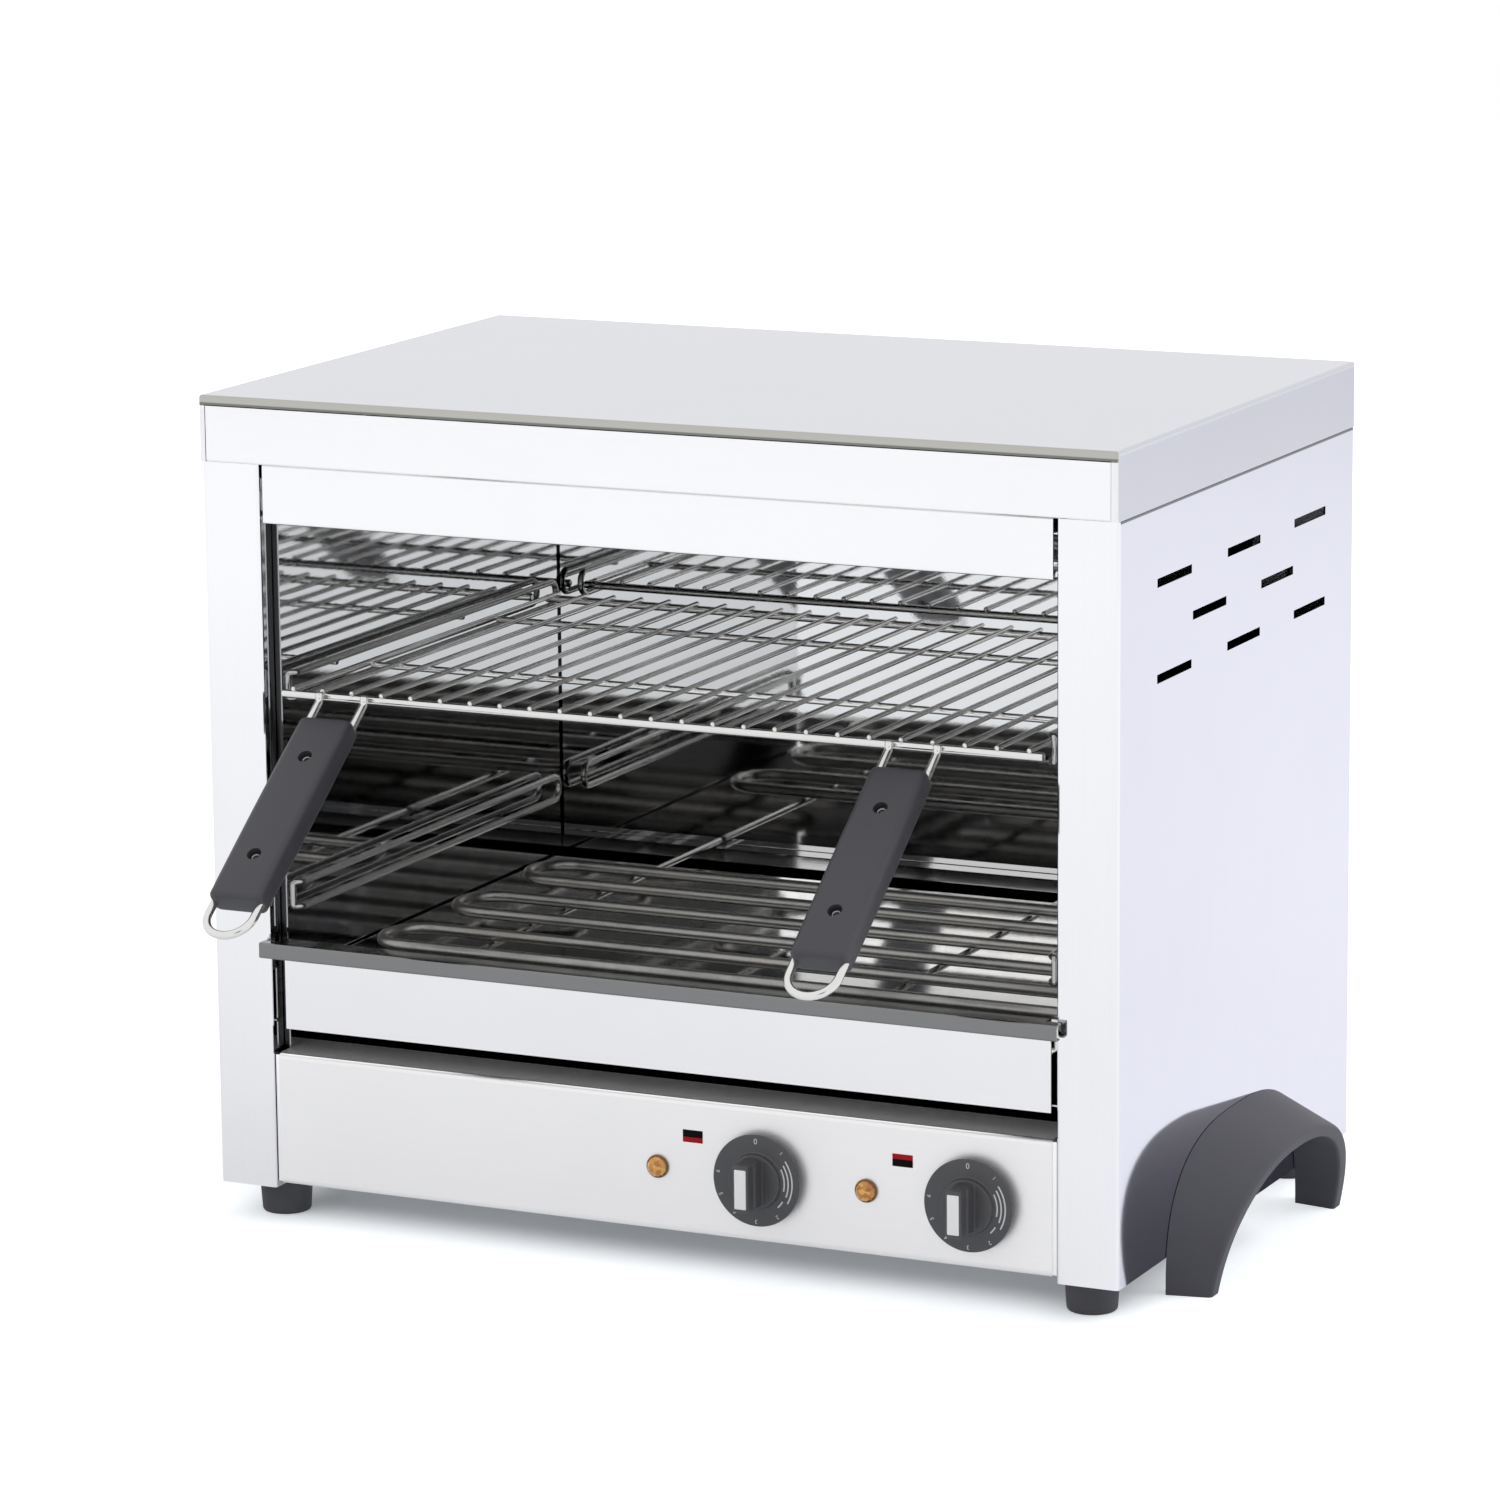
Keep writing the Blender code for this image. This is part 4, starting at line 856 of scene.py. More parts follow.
class GRILL_OT_handles(GrillOperator, bpy.types.Operator):
    """Add the two dropped handles: hairpin wires, moulded grips and their rivets"""
    bl_idname = "grill.handles"
    bl_label = "Handles"
    run = 80.4 * mm
    drop = 59.5 * mm
    leg_pitch = 28.8 * mm
    upright = 5 * mm
    grip_start = 18 * mm
    grip_length = 136 * mm
    grip_width = 34 * mm
    grip_thickness = 16.5 * mm
    grip_end = 3 * mm
    crown = 0.7 * mm
    loop_reach = 24.9 * mm
    rivet_pitch = 74 * mm
    recess_radius = 4.2 * mm
    recess_depth = 4.5 * mm
    overcut = 1 * mm
    rivet_outline = np.array([(1.5, 0.1), (1.5, 1.0), (2.3, 1.5), (3.3, 0.9), (3.3, 0.1)]) * mm
    rivet_bend = 0.4 * mm

    def make(self, sizes, colours):
        angle = math.atan2(self.drop, self.run)
        down = np.array([0, -math.cos(angle), -math.sin(angle)])
        up = np.array([0, -math.sin(angle), math.cos(angle)])
        look = look_of("handle_wire", wire_look, colours.wire_steel, 0.12)
        radius = sizes.handle_wire_radius
        for word in ("left", "right"):
            node = "handle_wire_" + word
            low, high = corners(node)
            start = np.array([(low[0] + high[0]) / 2, high[1] - radius, high[2]])
            corner = start - axis_z * self.upright
            wire = tube(self.hairpin(start, corner, down, radius), radius, up, 20)
            piece(node + "_hairpin", [wire], node, look, replace=True)
            self.make_grip("handle_grip_" + word, corner, down, up, sizes.grip_edge, colours.plastic)

    def hairpin(self, start, corner, down, radius):
        """Down the upright, round the bend and along the slope, half a ring at the far end, and back."""
        half = self.leg_pitch / 2
        reach = self.grip_start + self.grip_length + self.loop_reach - radius - half
        leg = bend([start, corner, corner + down * reach], self.upright * 0.5)
        ring = half_ring(leg[-1], down, axis_x, half)
        return np.vstack([leg - axis_x * half, ring[1:-1], leg[::-1] + axis_x * half])

    def make_grip(self, node, corner, down, up, rounding, colour):
        """Rounded bar: a stack of rounded rectangles along the slope, crowned by c sin(pi u)."""
        edge = self.grip_end
        back, small = ends(edge, edge, 6)
        middle = np.linspace(edge, self.grip_length - edge, 15)[1:-1]
        levels = np.concatenate([back, middle, self.grip_length - back[::-1]])
        inset = np.concatenate([edge - small, np.zeros(len(middle)), (edge - small)[::-1]])
        swell = self.crown * (np.sin(np.pi * levels / self.grip_length) - 1)
        loops = rounded_loops(self.grip_width / 2 - inset, self.grip_thickness / 2 - inset + swell,
                              rounding - inset * 0.6, 8)
        body = stack(loops, levels + self.grip_start, corner, axis_x, up, down)
        look = look_of("grip_plastic", plastic_look, colour)
        made = piece(node + "_body", [body], node, look, replace=True, crease=50)
        recess = [(self.recess_radius, -self.overcut), (self.recess_radius, self.recess_depth)]
        rim = bend(self.rivet_outline, self.rivet_bend, 5)
        recesses, rivets = [], []
        for shift in (-self.rivet_pitch / 2, self.rivet_pitch / 2):
            middle = corner + down * (self.grip_start + self.grip_length / 2 + shift)
            for way in (up, -up):
                face = middle + way * self.grip_thickness / 2
                recesses.append(lathe(recess, face, -way, 32, across=axis_x))
                rivets.append(lathe(rim, face - way * self.recess_depth, way, 32, across=axis_x))
        carve(made, recesses, 50)
        piece(node + "_rivets", rivets, node, look_of("rivet_steel", wire_look, (0.32, 0.32, 0.32), 0.3))


class GRILL_OT_dials(GrillOperator, bpy.types.Operator):
    """Add the two dials: skirt, boss, bar grip, white insert, numerals and graduation"""
    bl_idname = "grill.dials"
    bl_label = "Dials"
    skirt = 5 * mm
    skirt_plate = 1.8 * mm
    skirt_inset = 0.7 * mm
    shaft_bore = 3.4 * mm
    neck_radius = 9 * mm
    boss_height = 3.2 * mm
    boss_radius = 16 * mm
    boss_draft = 0.5 * mm
    pole_radius = 0.5 * mm
    skirt_bends = np.array([0.4, 2.0, 0.5, 0.9, 1.2, 0.9]) * mm
    bar_sunk = 0.3 * mm
    bar_height = 17.2 * mm
    bar_half_length = 13.4 * mm
    bar_edge = 0.7 * mm
    bar_corner = 1.3 * mm
    bar_flare = 0.9 * mm
    crest_half_width = 4.55 * mm
    foot_half_width = 5.2 * mm
    insert_half_width = 3.5 * mm
    insert_half_length = 11.3 * mm
    insert_sunk, insert_proud = 0.4 * mm, 0.35 * mm
    insert_corner, insert_edge = 0.5 * mm, 0.2 * mm
    print_rise = 0.08 * mm
    print_depth = 0.05 * mm
    weld = 0.001 * mm
    numerals = ((0, "0"), (42, "1"), (146, "2"), (180, "3"), (-146, "4"), (-114, "5"), (-82, "6"))
    zero_ring, numeral_ring = 22.6 * mm, 23.5 * mm
    small_share = 0.72
    body_share = 1.35
    arcs = ((17.6 * mm, 62, 104), (20.0 * mm, 58, 112), (22.4 * mm, 54, 120), (19.4 * mm, 122, 136))
    arc_half_width = 0.42 * mm
    arc_corner = 0.03 * mm

    def make(self, sizes, colours):
        plastic = look_of("dial_plastic", plastic_look, colours.dial, 0.36, 0.015)
        white = look_of("insert_white", print_look, colours.print_white, 0.3)
        ink = look_of("dial_print", print_look, shade(colours.print_white, 0.75))
        for word in ("left", "right"):
            node, insert = "dial_" + word, "dial_insert_" + word
            low, high, centre, radius = round_box(node)
            centre[1] = high[1]
            face = centre - axis_y * self.skirt
            skirt = lathe(self.skirt_profile(radius), centre, -axis_y, 96, 0.01)
            piece(node + "_skirt", [skirt], node, plastic, replace=True, crease=35)
            piece(node + "_bar", [self.bar(centre)], node, plastic, crease=50)
            block = cushion(self.insert_half_width, self.insert_half_length, -self.insert_sunk,
                            self.insert_proud, self.insert_corner, self.insert_edge,
                            (centre[0], low[1], centre[2]), front_ways)
            piece(insert + "_plate", [block], insert, white, replace=True)
            piece(node + "_graduation", [self.arc(face, *arc) for arc in self.arcs], node, ink)
            for angle, numeral in self.numerals:
                self.make_numeral(node, numeral, face, angle, sizes.numeral_height, ink)

    def skirt_profile(self, radius):
        """Thin skirt on a neck, with a rounded rim, a hollowed step up to the boss and a rounded boss."""
        face, top = self.skirt, self.skirt + self.boss_height
        rim = radius - self.skirt_inset
        back = face - self.skirt_plate
        outline = [
            (self.shaft_bore, 0), (self.neck_radius, 0), (self.neck_radius, back), (rim, back), (rim, face),
            (self.boss_radius, face), (self.boss_radius - self.boss_draft, top), (self.pole_radius, top)]
        return bend(outline, self.skirt_bends, 6)

    def bar(self, centre):
        """Grip bar as rounded rectangles stacked towards the user: its sides step in at half height and
        flare at the foot."""
        start = self.skirt + self.boss_height - self.bar_sunk
        stop = self.skirt + self.boss_height + self.bar_height
        back, small = ends(self.bar_edge, self.bar_edge)
        share = np.linspace(0, 1, 24)[:-1]
        levels = np.concatenate([start + share * (stop - self.bar_edge - start), stop - back[::-1]])
        inset = np.concatenate([np.zeros(len(share)), (self.bar_edge - small)[::-1]])
        height = (levels - start) / (stop - start)
        step = 1 / (1 + np.exp((height - 0.52) * 60))
        wide = self.crest_half_width + (self.foot_half_width - self.crest_half_width) * step
        flare = self.bar_flare * np.clip(1 - height / 0.12, 0, 1) ** 2
        long = self.bar_half_length + flare * 0.5
        loops = rounded_loops(wide + flare - inset, long - inset, self.bar_corner)
        return stack(loops, levels, centre, *front_ways)

    def arc(self, face, ring, first, last):
        """Printed arc: a rectangle of radius r +- w and height h carried from the first to the last angle."""
        turn = np.radians(np.linspace(first, last, 24))[:, None, None]
        half_rise = (self.print_rise + self.print_depth) / 2
        section = rounded_loops(self.arc_half_width, half_rise, self.arc_corner, 3)
        out = np.sin(turn) * axis_x + np.cos(turn) * axis_z
        middle = (self.print_rise - self.print_depth) / 2
        return shell(face + (ring + section[..., :1]) * out - (middle + section[..., 1:]) * axis_y)

    def make_numeral(self, node, word, face, angle, height, ink):
        """A numeral as a thin plate, its mesh placed on the skirt at face + ring (sin a X + cos a Z). The
        zero is larger and stands nearer to the middle."""
        name = "%s_numeral_%s" % (node, word)
        ring, share = (self.zero_ring, 1.0) if word == "0" else (self.numeral_ring, self.small_share)
        curve = bpy.data.curves.new(name, "FONT")
        curve.body = word
        curve.size = height * share * self.body_share
        curve.extrude = (self.print_rise + self.print_depth) / 2
        curve.align_x = "CENTER"
        curve.align_y = "CENTER"
        text = add_object(name + "_text", curve)
        bpy.context.view_layer.update()
        mesh = bpy.data.meshes.new_from_object(text.evaluated_get(bpy.context.evaluated_depsgraph_get()))
        bpy.data.objects.remove(text)
        turn_outwards(mesh, self.weld)
        turn = math.radians(angle)
        out = math.sin(turn) * axis_x + math.cos(turn) * axis_z
        side = math.cos(turn) * axis_x - math.sin(turn) * axis_z
        place = Vector(face + ring * out - axis_y * (self.print_rise - self.print_depth) / 2)
        ways = Matrix((Vector(side), Vector(out), Vector(-axis_y))).transposed().to_4x4()
        mesh.transform(Matrix.Translation(place) @ ways)
        settle(add_object(name, mesh), node, ink)


class GRILL_OT_pilot_lamps(GrillOperator, bpy.types.Operator):
    """Add the two pilot lamps with faceted amber lenses and dark rims"""
    bl_idname = "grill.pilot_lamps"
    bl_label = "Pilot lamps"
    rim = 1.4 * mm
    rim_width = 0.9 * mm
    rim_outline = np.array([(-0.9, 1.65), (-0.15, 1.5), (0, 0.05), (-0.9, 0.05)]) * mm
    rim_bend = 0.3 * mm
    lens_foot = 0.1 * mm
    neck_sunk = 0.02 * mm
    neck_radii = 4.5 * mm, 4.7 * mm, 0.4 * mm
    neck_bend = 0.5 * mm

    def make(self, sizes, colours):
        lens = look_of("lamp_lens", lens_look, colours.amber)
        rim = look_of("lamp_rim", plastic_look, (0.22, 0.10, 0.035), 0.3)
        panel = corners("control_panel")[0][1]
        for word in ("left", "right"):
            node = "pilot_lamp_" + word
            low, high, centre, radius = round_box(node)
            centre[1] = panel
            profile = self.lens_profile(radius - self.rim_width, panel - low[1] - self.rim)
            facets = lathe(profile, centre, -axis_y, 12, 0.2)
            piece(node + "_lens", [facets], node, lens, replace=True, crease=8)
            ring = bend(self.rim_outline + (radius, 0), self.rim_bend, 5)
            piece(node + "_rim", [lathe(ring, centre, -axis_y, closed=True)], node, rim)
            levels = (-self.neck_sunk, panel - high[1], panel - high[1])
            neck = bend(list(zip(self.neck_radii, levels)), self.neck_bend)
            piece(node + "_neck", [lathe(neck, centre, -axis_y, 24)], node, rim)

    def lens_profile(self, radius, dome):
        """Coarse dome, so that its facets show: r sin a and rim + d cos a."""
        turn = np.linspace(0.16, np.pi / 2, 5)
        curve = np.stack([radius * np.sin(turn), self.rim + dome * np.cos(turn)], axis=-1)
        return np.vstack([curve, [(radius, self.lens_foot)]])


class GRILL_OT_zone_symbols(GrillOperator, bpy.types.Operator):
    """Add the small printed symbols that show which bank of rods a dial works"""
    bl_idname = "grill.zone_symbols"
    bl_label = "Zone symbols"
    half_width = 6.2 * mm
    half_height = 3.6 * mm
    strip_share = 0.42
    rise = 0.12 * mm
    depth = 0.1 * mm
    corner, edge = 0.15 * mm, 0.05 * mm
    above_dial = 19.6 * mm
    left_of_dial = 42 * mm

    def make(self, sizes, colours):
        red = look_of("symbol_red", print_look, colours.red, 0.5, 0.1)
        black = look_of("symbol_black", print_look, (0.006, 0.004, 0.004), 0.5, 0.05)
        face = corners("control_panel")[0][1]
        strip = self.half_height * self.strip_share
        solid = self.half_height - strip
        for word, way in (("left", -1), ("right", 1)):
            centre = round_box("dial_" + word)[2]
            x, z = centre[0] - self.left_of_dial, centre[2] + self.above_dial
            for name, half, shift, look in (
                    ("red", strip, way * solid, red), ("black", solid, -way * strip, black)):
                block = cushion(self.half_width, half, -self.depth, self.rise, self.corner, self.edge,
                                (x, face, z + shift), front_ways, 3)
                piece("zone_symbol_%s_%s" % (word, name), [block], "control_panel", look)


class GRILL_OT_side_grips(GrillOperator, bpy.types.Operator):
    """Add the arched carrying grips with their flared, rounded rims"""
    bl_idname = "grill.side_grips"
    bl_label = "Side grips"
    leg = 12.5 * mm
    crown = 9 * mm
    width_bottom = 25.5 * mm
    lean = 14 * mm
    rim_half_length = 104 * mm
    rim_height = 69 * mm
    wall_power, rim_power = 2.7, 2.3

    def make(self, sizes, colours):
        look = look_of("side_grip_plastic", plastic_look, shade(colours.plastic, 1.65), 0.5, 0.02, 0.2)
        for node, side in (("side_grip_left", -1), ("side_grip_right", 1)):
            low, high = corners(node)
            wall = high[0] if side < 0 else low[0]
            arch = self.arch(high[1] - low[1], high[2], sizes.side_grip_edge)
            grid = (wall, (low[1] + high[1]) / 2, 0) + arch * (side, 1, 1)
            piece(node + "_arch", [shell(grid)], node, look, replace=True, crease=35)

    def arch(self, length, height, edge):
        """Blunt arch |y|^p + |z|^p = 1 with p and size fading from the wall to the rim, as thick as the leg
        at its feet and as the crown on top, leaning outwards with height."""
        turn = np.linspace(0, np.pi, 81)
        power = 2 / self.wall_power
        along = -np.sign(np.cos(turn)) * np.abs(np.cos(turn)) ** power
        up = np.abs(np.sin(turn)) ** power
        outer = np.stack([length / 2 * along, height * up], axis=-1)
        inner = np.stack([(length / 2 - self.leg) * along, (height - self.crown) * up], axis=-1)
        width, depth = self.ring_shares(edge)
        flat = outer[:, None] * (1 - depth) + inner[:, None] * depth
        shares = flat / (length / 2, height)
        ratio = self.reach(shares, self.wall_power) / self.reach(shares, self.rim_power)
        rim = shares * ratio * (self.rim_half_length, self.rim_height)
        out = (self.width_bottom + self.lean * shares[..., 1:]) * width
        return np.concatenate([out, flat * (1 - width) + rim * width], axis=-1)

    def ring_shares(self, edge):
        """The closed section as shares: 0 to 1 across the width, and 0 to 1 from outer to inner face."""
        wide = edge / (self.width_bottom + self.lean / 2)
        deep = edge / self.leg
        turn = np.linspace(0, np.pi / 2, 7)
        run = np.linspace(0, 1 - wide, 10)
        width = [run[:-1], 1 - wide + wide * np.sin(turn), 1 - wide + wide * np.cos(turn), run[-2::-1]]
        depth = [0 * run[:-1], deep * (1 - np.cos(turn)), 1 - deep + deep * np.sin(turn), 0 * run[:-1] + 1]
        return np.concatenate(width)[:, None], np.concatenate(depth)[:, None]

    def reach(self, shares, power):
        """Size of the blunt arch that runs through each point: (|y|^p + |z|^p)^(1/p)."""
        return (np.abs(shares) ** power).sum(axis=-1, keepdims=True) ** (1 / power)


class GRILL_OT_feet(GrillOperator, bpy.types.Operator):
    """Add the four rubber feet with their recessed fixing screws"""
    bl_idname = "grill.feet"
    bl_label = "Feet"
    bottom_share = 0.916
    pole_radius = 0.3 * mm
    shoulder = 0.6 * mm
    recess_radius = 5 * mm
    recess_depth = 6 * mm
    bends = np.array([0.3, 0.5, 2.2, 0.5, 0.4]) * mm
    screw_radius, screw_height, screw_sunk = 3.6 * mm, 1.8 * mm, 0.05 * mm

    def make(self, sizes, colours):
        look = look_of("foot_rubber", rubber_look, (0.075, 0.075, 0.082))
        for node in sorted(name for name in nodes if name.startswith("foot_")):
            low, high, centre, radius = round_box(node)
            height = high[2] - low[2]
            centre[2] = low[2]
            outline = [
                (self.pole_radius, self.recess_depth), (self.recess_radius, self.recess_depth),
                (self.recess_radius, 0), (radius * self.bottom_share, 0), (radius, height - self.shoulder),
                (radius - self.shoulder, height), (self.pole_radius, height)]
            foot = lathe(bend(outline, self.bends), centre, axis_z)
            piece(node + "_rubber", [foot], node, look, replace=True)
            seat = centre + axis_z * (self.recess_depth - self.screw_sunk)
            head = screw_head(seat, -axis_z, axis_x, self.screw_radius, self.screw_height)
            piece(node + "_screw", [head], node, fixing_steel())


def fixing_steel():
    return look_of("fixing_steel", wire_look, (0.62, 0.62, 0.60), 0.22)


def screw_head(centre, way, across, radius, height):
    """Domed head with a cross recess: height h (0.45 + 0.55 (1 - s^2)) at the radius share s, less half of h
    in a cross where |a| or |b| is small."""
    ring = np.concatenate([np.linspace(0.02, 0.94, 14), [0.98, 1.0, 1.0]])
    turn = np.linspace(0, 2 * np.pi, 48, endpoint=False)
    share, angle = ring[:, None], turn[None, :]
    a, b = share * np.cos(angle), share * np.sin(angle)
    dome = height * (0.45 + 0.55 * (1 - share ** 2)) * np.ones_like(a)
    dome[-1] = 0
    slot_half, slot_reach, slot_depth = 0.11, 0.52, height * 0.5
    slot = 1 / (1 + np.exp((np.minimum(np.abs(a), np.abs(b)) - slot_half) * 60))
    reach = 1 / (1 + np.exp((np.maximum(np.abs(a), np.abs(b)) - slot_reach) * 40))
    rise = dome - slot_depth * slot * reach
    over = np.cross(way, across)
    grid = (np.asarray(centre) + radius * a[..., None] * across + radius * b[..., None] * over
            + rise[..., None] * way)
    return shell(grid)


def round_outline(radius):
    turn = np.linspace(0, 2 * np.pi, 48, endpoint=False)
    return radius * np.stack([np.cos(turn), np.sin(turn)], axis=-1)


def hexagon_outline(radius):
    """Hexagon with slightly cut corners in polar form: r cos 30 / cos(a mod 60 - 30), at most 0.97 r."""
    turn = np.linspace(0, 2 * np.pi, 48, endpoint=False)
    local = np.mod(turn, np.pi / 3) - np.pi / 6
    reach = np.minimum(radius * math.cos(math.pi / 6) / np.cos(local), radius * 0.97)
    return np.stack([reach * np.cos(turn), reach * np.sin(turn)], axis=-1)


class GRILL_OT_back_fittings(GrillOperator, bpy.types.Operator):
    """Add the cable gland and the screws of the back panel"""
    bl_idname = "grill.back_fittings"
    bl_label = "Back fittings"
    screw_inset = 12 * mm
    screw_radius, screw_height, screw_sunk = 3.6 * mm, 2.2 * mm, 0.02 * mm
    nut_thickness = 5 * mm
    nut_share = 0.995
    dome_length = 9 * mm
    dome_radius = 10.5 * mm
    thread_radius = 7.9 * mm
    bore_radius = 4.5 * mm
    nut_edge, dome_edge, thread_edge = 0.7 * mm, 2.2 * mm, 0.3 * mm

    def make(self, sizes, colours):
        black = look_of("gland_plastic", plastic_look, (0.035, 0.035, 0.037), 0.4)
        low, high = corners("back_panel")
        xs = np.linspace(low[0] + self.screw_inset, high[0] - self.screw_inset, 4)
        zs = np.linspace(low[2] + self.screw_inset, high[2] - self.screw_inset, 3)
        places = [(x, z) for x in xs for z in (zs[0], zs[-1])] + [(x, zs[1]) for x in (xs[0], xs[-1])]
        face = high[1] - self.screw_sunk
        heads = [screw_head((x, face, z), axis_y, axis_x, self.screw_radius, self.screw_height)
                 for x, z in places]
        piece("back_panel_screws", heads, "back_panel", fixing_steel())
        low, high, centre, radius = round_box("cable_gland")
        centre[1] = high[1] - self.nut_thickness - self.dome_length
        nut_end = self.nut_thickness
        collars = [self.collar(centre, *values) for values in (
            (hexagon_outline(radius * self.nut_share), 0, nut_end, self.nut_edge),
            (round_outline(self.dome_radius), nut_end, nut_end + self.dome_length, self.dome_edge),
            (round_outline(self.thread_radius), low[1] - centre[1], 0, self.thread_edge))]
        piece("cable_gland_body", collars, "cable_gland", black, replace=True)

    def collar(self, centre, outline, low, high, edge):
        """A bored collar: bore, flat end, outline drawn in by the edge, outline, and back to the bore."""
        length = np.linalg.norm(outline, axis=1, keepdims=True)
        bore = outline / length * self.bore_radius
        drawn = outline * (1 - edge / length)
        rings = [(bore, low), (drawn, low), (outline, low + edge * 0.5), (outline, high - edge),
                 (drawn, high), (bore, high)]
        grid = np.stack([centre + ring[:, :1] * axis_x + ring[:, 1:] * axis_z + level * axis_y
                         for ring, level in rings])
        return shell(grid, closed_u=True)


class GRILL_OT_stage(bpy.types.Operator):
    """Add the pale floor, the soft studio light and the camera"""
    bl_idname = "grill.stage"
    bl_label = "Stage"
    floor_reach = 6.0
    image_side = 1500
    focal_pixels = 6230.0
    sensor = 36.0
    yaw, pitch, roll = math.radians(25.499), math.radians(11.613), math.radians(-0.561)
    eye = (1.5119, -3.15616, 0.9973)
    lamps = (
        ("key_softbox", (2.6, 1.4, 2.6), 2.2, 46.0),
        ("front_softbox", (-2.0, -2.6, 2.2), 2.4, 15.0),
        ("top_softbox", (0.3, -0.2, 3.2), 2.2, 6.0),
    )
    ambient = 0.64
    floor_colour = (0.80, 0.818, 0.84, 1)
    glow_colour = (0.95, 0.98, 1.0, 1)
    # Over this footprint the camera sees less glow: painted shadow under the grill.
    footprint = (0.24, 0.06, 0)
    shadow_reach = 0.065
    seen_near, seen_far = 0.58, 0.30
    mirrored_glow, mirrored_far = 0.25, 0.12
    dim_way = (0.44, -0.87, 0.24)
    dim_from, dim_full, dim_share = 0.980, 0.993, 0.95
    far_start, far_rise = 0.6, 0.6
    target = (0, 0, 0.22)
    clip_end = 40.0

    def execute(self, context):
        self.make_floor()
        self.make_world(context.scene)
        self.make_lamps()
        self.make_camera(context.scene)
        context.scene.view_settings.view_transform = "Standard"
        return {"FINISHED"}

    def make_floor(self):
        """Plain pale floor. To the camera it glows less over the grill's footprint, a painted shadow under
        the grill beside its real one, and grows lighter away from it, up to white.
        """
        reach = self.floor_reach
        mesh = bpy.data.meshes.new("studio_floor")
        mesh.from_pydata([(-reach, -reach, 0), (reach, -reach, 0), (reach, reach, 0), (-reach, reach, 0)], [],
                         [(0, 1, 2, 3)])
        floor = add_object("studio_floor", mesh)
        look = Look("floor_paper", roughness=0.9, specular_ior_level=0.0)
        look.shader.inputs["Base Color"].default_value = self.floor_colour
        place = look.vector("ABSOLUTE", look.add("ShaderNodeTexCoord", output="Object"))
        place = look.vector("MAXIMUM", look.vector("SUBTRACT", place, self.footprint))
        away = look.vector("LENGTH", place, output="Value")
        near = look.fade(away, 0.0, self.shadow_reach)
        far = ((away - self.far_start) * self.far_rise).clamped()
        mirrored = (look.ray("Glossy") + look.ray("Transmission")).clamped()
        level = look.ray("Camera") * (near * self.seen_near + far * self.seen_far)
        level = level + mirrored * (self.mirrored_glow + far * self.mirrored_far)
        glow = look.add("ShaderNodeEmission", {}, {"Color": self.glow_colour, "Strength": level})
        paper = Signal(look, look.shader.outputs["BSDF"])
        both = look.add("ShaderNodeAddShader", {}, {0: paper, 1: glow})
        look.tree.links.new(both.socket, look.tree.nodes["Material Output"].inputs["Surface"])
        floor.data.materials.append(look.material)

    def make_world(self, scene):
        """White where it is seen directly, in metal or through glass, and plainer as light. Metal also sees
        a dim patch of the studio, in front of the grill and to the right."""
        world = bpy.data.worlds.new("studio_world")
        world.use_nodes = True
        graph = Graph(world.node_tree)
        background = world.node_tree.nodes["Background"]
        ahead = graph.add("ShaderNodeTexCoord", output="Generated")
        facing = graph.vector("DOT_PRODUCT", ahead, self.dim_way, "Value")
        dim = graph.fade(facing, self.dim_from, self.dim_full)
        seen = (graph.ray("Camera") + graph.ray("Transmission")).clamped()
        mirrored = graph.ray("Glossy")
        plain = (1.0 - seen - mirrored).clamped() * self.ambient
        level = seen + mirrored * (1.0 - dim * self.dim_share) + plain
        world.node_tree.links.new(level.socket, background.inputs["Strength"])
        background.inputs["Color"].default_value = (1, 1, 1, 1)
        scene.world = world

    def make_lamps(self):
        for name, place, size, power in self.lamps:
            data = bpy.data.lights.new(name, "AREA")
            data.shape = "SQUARE"
            data.size = size
            data.energy = power
            lamp = add_object(name, data)
            lamp.location = place
            lamp.rotation_mode = "QUATERNION"
            lamp.rotation_quaternion = (Vector(self.target) - Vector(place)).to_track_quat("-Z", "Y")
            lamp.visible_glossy = False

    def make_camera(self, scene):
        """Eye point and turn of the photograph's view: yaw about Z, then pitch, then roll about the view."""
        level = Vector((math.cos(self.yaw), math.sin(self.yaw), 0))
        away = Vector((-math.sin(self.yaw), math.cos(self.yaw), 0))
        ahead = away * math.cos(self.pitch) - Vector((0, 0, math.sin(self.pitch)))
        upright = level.cross(ahead)
        right = level * math.cos(self.roll) + upright * math.sin(self.roll)
        up = upright * math.cos(self.roll) - level * math.sin(self.roll)
        data = bpy.data.cameras.new("photo_camera")
        data.sensor_width = self.sensor
        data.lens = self.focal_pixels / self.image_side * self.sensor
        data.clip_end = self.clip_end
        camera = add_object("photo_camera", data)
        camera.matrix_world = Matrix.Translation(self.eye) @ Matrix((right, up, -ahead)).transposed().to_4x4()
        scene.camera = camera


steps = (
    GRILL_OT_sheet_metal, GRILL_OT_folded_returns, GRILL_OT_heating_rods, GRILL_OT_wire_carriers,
    GRILL_OT_rack, GRILL_OT_handles, GRILL_OT_dials, GRILL_OT_pilot_lamps, GRILL_OT_zone_symbols,
    GRILL_OT_side_grips, GRILL_OT_feet, GRILL_OT_back_fittings, GRILL_OT_stage,
)


class GRILL_PT_panel(bpy.types.Panel):
    """Sidebar panel that lists the grill's pieces"""
    bl_label = "Salamander grill"
    bl_idname = "GRILL_PT_panel"
    bl_space_type = "VIEW_3D"
    bl_region_type = "UI"
    bl_category = "Grill"

    def draw(self, context):
        column = self.layout.column(align=True)
        for step in steps:
            column.operator(step.bl_idname)
        for settings in (context.scene.grill_sizes, context.scene.grill_colours):
            box = self.layout.box()
            for key in settings.__annotations__:
                box.prop(settings, key)


classes = (GrillSizes, GrillColours, *steps, GRILL_PT_panel)


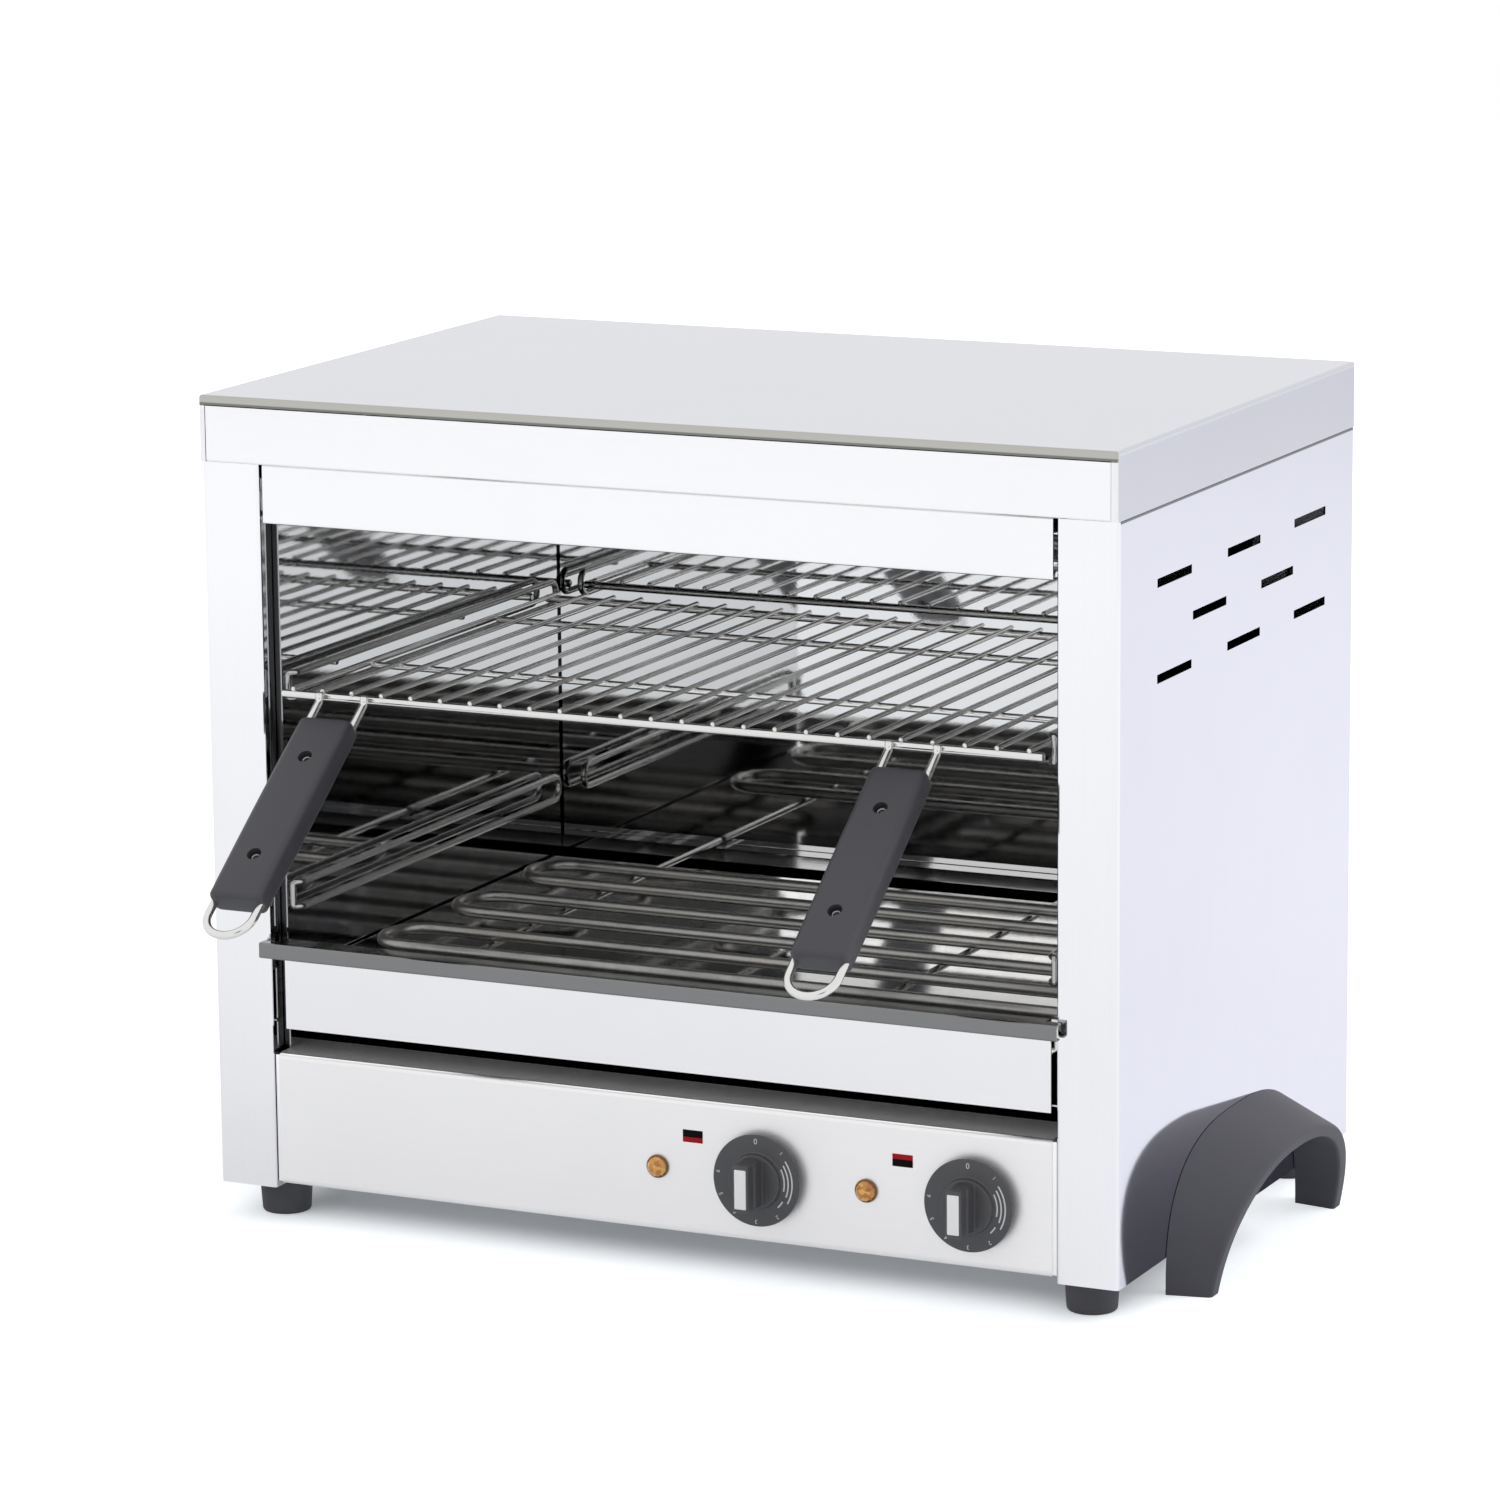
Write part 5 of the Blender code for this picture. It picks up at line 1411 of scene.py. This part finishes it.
def register():
    for each in classes:
        bpy.utils.register_class(each)
    bpy.types.Scene.grill_sizes = bpy.props.PointerProperty(type=GrillSizes)
    bpy.types.Scene.grill_colours = bpy.props.PointerProperty(type=GrillColours)


def unregister():
    del bpy.types.Scene.grill_colours
    del bpy.types.Scene.grill_sizes
    for each in reversed(classes):
        bpy.utils.unregister_class(each)


def main():
    register()
    for step in steps:
        group, name = step.bl_idname.split(".")
        getattr(getattr(bpy.ops, group), name)()


if __name__ == "__main__":
    main()
